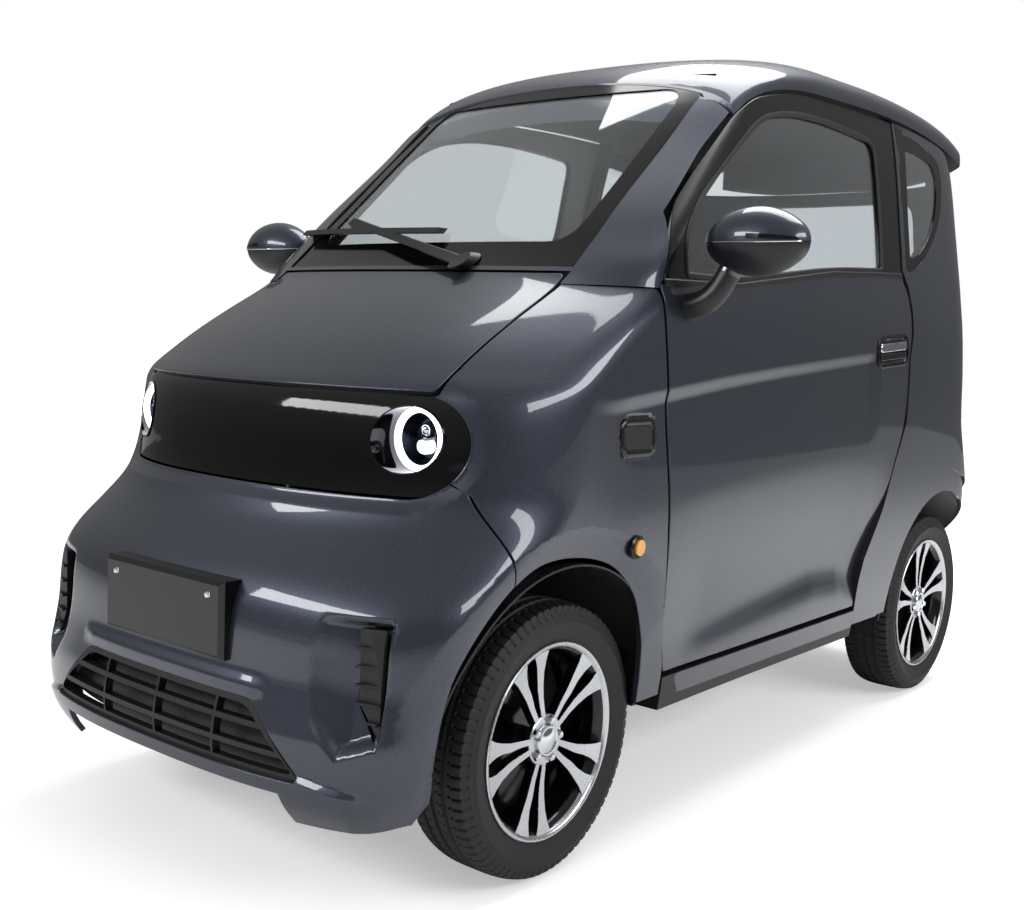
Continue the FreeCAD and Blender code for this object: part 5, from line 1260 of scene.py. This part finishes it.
def pod_profile(count=60):
    """Places along the pod and their distance from its long axis: two end arcs and one flatter middle arc."""
    middle = POD_FAR - POD_END
    big = (middle ** 2 + POD_TALL ** 2 - POD_END ** 2) / (2 * (POD_TALL - POD_END))
    turn = np.linspace(0, np.pi, count)
    x = -POD_FAR * np.cos(turn)
    inner = np.sqrt(np.maximum(big ** 2 - x ** 2, 0)) - (big - POD_TALL)
    outer_arc = np.sqrt(np.maximum(POD_END ** 2 - (np.abs(x) - middle) ** 2, 0))
    meet = middle * big / (big - POD_END)
    return x, np.where(np.abs(x) < meet, inner, outer_arc)


def pod_half(low, high, grow=0.0, count=44):
    """The pod's skin between two turns about its long axis, closed by flat faces towards the axis."""
    x, far = pod_profile()
    turn = np.radians(np.linspace(low, high, count))[:, None]
    y = np.minimum(-np.cos(turn) * (far + grow)[None], POD_BACK)
    z = np.sin(turn) * (far + grow)[None]
    points = np.stack((np.broadcast_to(x * (1 + grow / POD_FAR), y.shape), y, z), -1)
    closing = np.stack((x, np.zeros_like(x), np.zeros_like(x)), -1)[None]
    grid = np.concatenate((points, closing))
    return grid.reshape(-1, 3), grid_faces(*grid.shape[:2], closed=False), None


def tube(path, radius, count=20):
    """A round bar along a path: circles square to it, closed by its end points."""
    path = np.array(path, float)
    radius = np.broadcast_to(radius, len(path))
    along = unit(np.gradient(path, axis=0))
    side = unit(np.cross(along, (0.0, 1.0, 0.13)))
    high = np.cross(along, side)
    turn = np.linspace(0, 2 * np.pi, count, endpoint=False)[None, :, None]
    round_way = np.cos(turn) * side[:, None] + np.sin(turn) * high[:, None]
    ring = path[:, None] + radius[:, None, None] * round_way
    return ring.reshape(-1, 3), grid_faces(len(path), count, ring=False), None


MIRROR_FILM = 83.333    # millimetres
mirror_black = grained_plastic("matt_black_asa", "101113", "16171A", 0.36, 1.0)
mirror_glass, tree, shader = finish("silvered_glass", Base_Color=linear("C8CDD2"), Metallic=1.0)
place = node(tree, "ShaderNodeTexCoord")
film = node(tree, "ShaderNodeTexNoise", (("Vector", place.outputs["Object"]), ("Scale", 1000 / MIRROR_FILM)))
haze = node(tree, "ShaderNodeMapRange", ((0, film.outputs["Fac"]), (3, 0.01), (4, 0.05)))
tree.links.new(haze.outputs[0], shader.inputs["Roughness"])
ARM = ((0.530, -0.455, 1.030), (0.556, -0.456, 1.034), (0.580, -0.455, 1.044), (0.601, -0.450, 1.066),
       (0.618, -0.445, 1.098), (0.630, -0.441, 1.122))
ARM_RADIUS = ((0, 0.15, 0.5, 1), (0.029, 0.026, 0.0235, 0.0215))
COLLAR, COLLAR_RADIUS = ((0.617, -0.4455, 1.096), (0.624, -0.443, 1.110), (0.632, -0.440, 1.126)), 0.0228
TRIM_TURN, TRIM_REACH, TRIM_RADIUS = np.radians(-4.5), 0.098, 0.0016
LAMP_STRIP = ((1.0, -0.004), (1.0, 0.0012), (9.0, 0.0012), (9.0, -0.004))
OVAL_LONG, OVAL_TALL, OVAL_FRONT, OVAL_BACK = 0.082, 0.047, 0.0350, 0.0385
arm_path, collar_path = through(ARM, 0.008), through(COLLAR, 0.006)
arm_wide = np.interp(np.linspace(0, 1, len(arm_path)), *ARM_RADIUS)
pod_x, pod_far = pod_profile()
trim_path = np.stack((pod_x, -np.cos(TRIM_TURN) * (pod_far + 0.0002), np.sin(TRIM_TURN) * pod_far), 1)
trim_path = trim_path[np.abs(pod_x) < TRIM_REACH]
lamp_x = np.linspace(0.010, 0.094, 30)
lamp_far = np.interp(lamp_x, pod_x, pod_far)
lamp_rows = [np.stack((lamp_x, -np.cos(np.radians(turn)) * (lamp_far + grow),
                       np.sin(np.radians(turn)) * (lamp_far + grow)), 1) for turn, grow in LAMP_STRIP]
turn = np.linspace(0, 2 * np.pi, 64, endpoint=False)
oval = np.stack((OVAL_LONG * np.cos(turn), np.zeros(64), OVAL_TALL * np.sin(turn)), 1)
mirror_oval = (np.concatenate((oval + (0, OVAL_BACK, 0), oval + (0, OVAL_FRONT, 0))),
               grid_faces(2, 64, ring=False), None)
for hand, side in (("left", 1), ("right", -1)):
    middle, origin = POD * (side, 1, 1), (0, 0, 0)
    for name, form, spot, cover, slot, old, sharp in (
            ("shell", pod_half(-3, 186), middle, paint, "body_paint", ["mirror_" + hand], 40),
            ("base", pod_half(188, 355, -0.0006), middle, mirror_black, "body_paint", (), 40),
            ("trim", tube(trim_path, TRIM_RADIUS, 8), middle, chrome, "alloy", (), 40),
            ("lamp", plate_of(lamp_rows), middle, gloss_black, "gloss_black", (), 40),
            ("glass", mirror_oval, middle, mirror_glass, "alloy", (), 40),
            ("arm", tube(arm_path, arm_wide, 28), origin, mirror_black, "black_plastic", (), 50),
            ("collar", tube(collar_path, COLLAR_RADIUS, 28), origin, dark_chrome, "alloy", (), 50)):
        add_piece("mirror_%s_%s" % (name, hand), [placed(form, spot, side)], cover, "door_" + hand, old,
                  sharp=sharp)


# Cabin
# Two seats with padded cushions and backs sewn from woven cloth, a moulded dashboard, and a black wheel
# with three spokes on its leaning column.
THREAD = 3.8462    # millimetres from thread to thread, drawn coarse enough to show
woven, tree, shader = finish("woven_seat_cloth", Roughness=0.85, Sheen_Weight=0.35)
place = node(tree, "ShaderNodeTexCoord")
warp, weft = (node(tree, "ShaderNodeTexWave", (("Vector", place.outputs["Object"]), ("Scale", 1000 / THREAD),
                                               ("Distortion", 0.6)), bands_direction=way) for way in "XZ")
over = node(tree, "ShaderNodeMath", ((0, warp.outputs["Fac"]), (1, weft.outputs["Fac"])),
            operation="MULTIPLY")
shade = node(tree, "ShaderNodeValToRGB", ((0, over.outputs[0]),))
shade.color_ramp.elements[0].color = linear("2A2C30")
shade.color_ramp.elements[1].color = linear("4A4D53")
tree.links.new(shade.outputs[0], shader.inputs["Base Color"])
bump = node(tree, "ShaderNodeBump", (("Height", over.outputs[0]), ("Strength", 0.35), ("Distance", 0.0008)))
tree.links.new(bump.outputs[0], shader.inputs["Normal"])
RINGS = np.array((1.0, 0.985, 0.955, 0.90, 0.82, 0.72, 0.60, 0.46, 0.30, 0.15, 0.02))
EASE, CHANNEL_DEEP, CHANNEL_REACH = 2.6, 0.006, 0.86


def cushion(outline, thick, channels=0):
    """A padded form over a closed outline in its own plane: thickness rises from the seam to the middle as
    one minus the edge distance to a power, with shallow sewn channels across it."""
    loop = turning(divided(np.array(outline, float), 0.012), 1)
    count, rows = len(loop), len(RINGS)
    middle = loop.mean(0)
    grid = middle + (loop - middle)[None] * RINGS[:, None, None]
    high = thick / 2 * ((1 - RINGS ** EASE) ** (1 / EASE))[:, None] * np.ones(count)
    if channels:
        wave = np.abs(np.sin(np.pi * channels * (grid[..., 1] - loop[:, 1].min()) / np.ptp(loop[:, 1])))
        high = high - CHANNEL_DEEP * (1 - wave) ** 6 * (RINGS[:, None] < CHANNEL_REACH)
    front = np.concatenate((grid, high[..., None]), -1)
    back = np.concatenate((grid[1:], -high[1:, :, None]), -1)
    i, j = np.meshgrid(np.arange(rows - 1), np.arange(count), indexing="ij")
    first, after, beside = np.where(i == 0, 0, (i - 1 + rows) * count), (i + rows) * count, (j + 1) % count
    under = np.stack((first + j, after + j, after + beside, first + beside), -1).reshape(-1, 4)
    caps = np.array([np.arange(count) + (rows - 1) * count,
                     (np.arange(count) + (2 * rows - 2) * count)[::-1]])
    faces = [grid_faces(rows, count, ring=False)[0], under, caps]
    return np.concatenate((front, back)).reshape(-1, 3), faces, None


def stood(part, middle, lean):
    """A padded form turned upright about the car's side axis, leant back, and put at its place."""
    points, faces, normals = part
    x, z, y = points.T * ((1,), (1,), (-1,))
    back_way, up_way = y * np.cos(lean) + z * np.sin(lean), -y * np.sin(lean) + z * np.cos(lean)
    return np.stack((x, back_way, up_way), 1) + np.array(middle), faces, normals


SEAT_OUT, SEAT_LEAN = 0.235, np.radians(12)
SEAT_BASE = ((-0.200, -0.205), (0.200, -0.205), (0.196, 0.215), (-0.196, 0.215))
SEAT_BACK = ((-0.196, -0.245), (0.196, -0.245), (0.200, 0.195), (0.160, 0.245), (-0.160, 0.245),
             (-0.200, 0.195))
HEAD_REST = ((-0.115, -0.085), (0.115, -0.085), (0.105, 0.085), (-0.105, 0.085))
lying = cushion(SEAT_BASE, 0.115, channels=4)
seat_parts = []
for side, hand in ((1, "left"), (-1, "right")):
    x = side * SEAT_OUT
    forms = (("seat_cushion_", placed(lying, (x, 0.048, 0.372), 1), ["seats"] if side > 0 else ()),
             ("seat_back_", stood(cushion(SEAT_BACK, 0.100, channels=5), (x, 0.350, 0.630), SEAT_LEAN), ()),
             ("head_rest_", stood(cushion(HEAD_REST, 0.085), (x, 0.428, 0.975), SEAT_LEAN), ()))
    seat_parts += [add_piece(name + hand, [form], woven, "car_body", old, sharp=60)
                   for name, form, old in forms]

# The grip is moulded rubber with a dull, even skin; the dashboard's soft trim is duller still.
wheel_grip = grained_plastic("moulded_grip_rubber", "0C0C0D", "131314", 0.55, 300.0)
trim_black = grained_plastic("soft_touch_trim", "0B0B0D", "121214", 0.60, 220.0)
GRIP_RADIUS, WHEEL_RADIUS, WHEEL_LEAN = 0.0125, 0.170, np.radians(30)
BOSS = ((-0.016, 0.0), (-0.016, 0.034), (-0.011, 0.043), (0.010, 0.045), (0.014, 0.040), (0.014, 0.018),
        (0.185, 0.0175), (0.185, 0.0))
ARM_HALF, ARM_THICK = ((0.036, 0.10, 0.168), (0.026, 0.018, 0.022)), 0.006
axis = np.array((0, -np.cos(WHEEL_LEAN), -np.sin(WHEEL_LEAN)))
centre = np.array((0.235, -0.300, 0.985))
turn = np.linspace(0, 2 * np.pi, 16, endpoint=False)
grip_section = np.stack((GRIP_RADIUS * np.cos(turn), WHEEL_RADIUS + GRIP_RADIUS * np.sin(turn)), 1)
wheel_parts = [turned_form(grip_section, centre, axis, 96)]
wide_way = np.array((1.0, 0, 0))
up_way = np.cross(wide_way, axis)
far = np.linspace(0.036, 0.168, 12)[:, None]
half = np.interp(far, *ARM_HALF)
for angle in np.radians((0, 180, 270)):
    out = np.cos(angle) * wide_way - np.sin(angle) * up_way
    over_to = np.cross(axis, out)
    wheel_parts.append(plate_of([centre + far * out + a * half * over_to + b * ARM_THICK * axis
                                 for a, b in ((1, -1), (-1, -1), (-1, 1), (1, 1))]))
wheel_parts.append(turned_form(BOSS, centre, axis, 48))
add_piece("steering_rim", wheel_parts, wheel_grip, "steering_wheel", ["steering_wheel"],
          sharp=40)
dress(trim_black, "dashboard")


# Chassis, drive and lights of the rear
# Black powder-coated rails, arms and hubs, a bare cast motor housing, and clear red tail lamps with fine
# flutes. The powder dulls the steel to an even black; the sand mould leaves the aluminium bright but rough.
LENS_FLUTE = 14.286    # millimetres
frame_coat = grained_plastic("black_powder_coat", "0E0E0F", "161617", 0.55, 260.0)
cast_metal = bright_metal("sand_cast_aluminium", "8A8C90", 0.45)
dress(frame_coat, "chassis_frame", "front_suspension", "knuckle_left", "knuckle_right", "rear_axle")
dress(cast_metal, "drive_blocks")
lamp_red, tree, shader = finish("clear_red_acrylic", Base_Color=linear("8E0A10"), Roughness=0.08,
                                Transmission_Weight=0.35)
place = node(tree, "ShaderNodeTexCoord")
flutes = node(tree, "ShaderNodeTexWave", (("Vector", place.outputs["Object"]), ("Scale", 1000 / LENS_FLUTE)),
              bands_direction="Z")
bump = node(tree, "ShaderNodeBump", (("Height", flutes.outputs["Fac"]), ("Strength", 0.3),
                                     ("Distance", 0.001)))
tree.links.new(bump.outputs[0], shader.inputs["Normal"])
dress(lamp_red, "tail_lamps")
dress(clear_glass, "tailgate_glass")


# Sills and roof joints
# A painted strip covers each sill's outer face; two black rubber gaskets lie in the joints that run along
# the moulded roof, and follow its crown.
SILL = ((-0.4835, 0.268, 0.004), (0.3960, 0.268, 0.004), (0.3985, 0.3120, 0.006), (-0.4835, 0.3120, 0.004))
sill_path = at_side(SILL)
for hand, side in (("left", 1), ("right", -1)):
    add_piece("sill_cover_" + hand, [panel(lifted(shell, 0.0012), sill_path * (side, 1), (), (0.02, 0.010),
                                           0.006)],
              paint, "car_body")
# Each row: how far back, half width, height of the edge, height of the crown, squareness.
ROOF = np.array(((-0.186, 0.462, 1.4362, 1.5355, 2.15), (-0.117, 0.463, 1.482, 1.579, 2.3),
                 (-0.039, 0.464, 1.510, 1.603, 2.5), (0.104, 0.465, 1.533, 1.629, 2.8),
                 (0.351, 0.465, 1.543, 1.642, 3.0), (0.650, 0.465, 1.545, 1.645, 3.0),
                 (0.910, 0.464, 1.527, 1.635, 3.0), (1.105, 0.461, 1.490, 1.607, 3.0),
                 (1.232, 0.456, 1.440, 1.564, 2.8)))
GASKET_OUT = 0.170
GASKET = ((-0.0012, 0.004), (-0.0010, -0.0008), (0.0010, -0.0008), (0.0012, 0.004))
gasket_rubber = grained_plastic("roof_gasket_rubber", "08080A", "0E0E10", 0.50, 60.0)
roof_y = np.linspace(-0.184, 1.228, 70)
wide, edge, crown, power = (np.interp(roof_y, ROOF[:, 0], ROOF[:, k]) for k in (1, 2, 3, 4))
for hand, side in (("left", 1), ("right", -1)):
    rows = []
    for off, drop in GASKET[::side]:
        high = edge + (crown - edge) * (1 - ((GASKET_OUT + off) / wide) ** power) ** (1 / power)
        rows.append(np.stack((np.full(70, side * (GASKET_OUT + off)), roof_y, high - drop), 1))
    add_piece("roof_gasket_" + hand, [plate_of(rows)], gasket_rubber, "car_body", sharp=40)
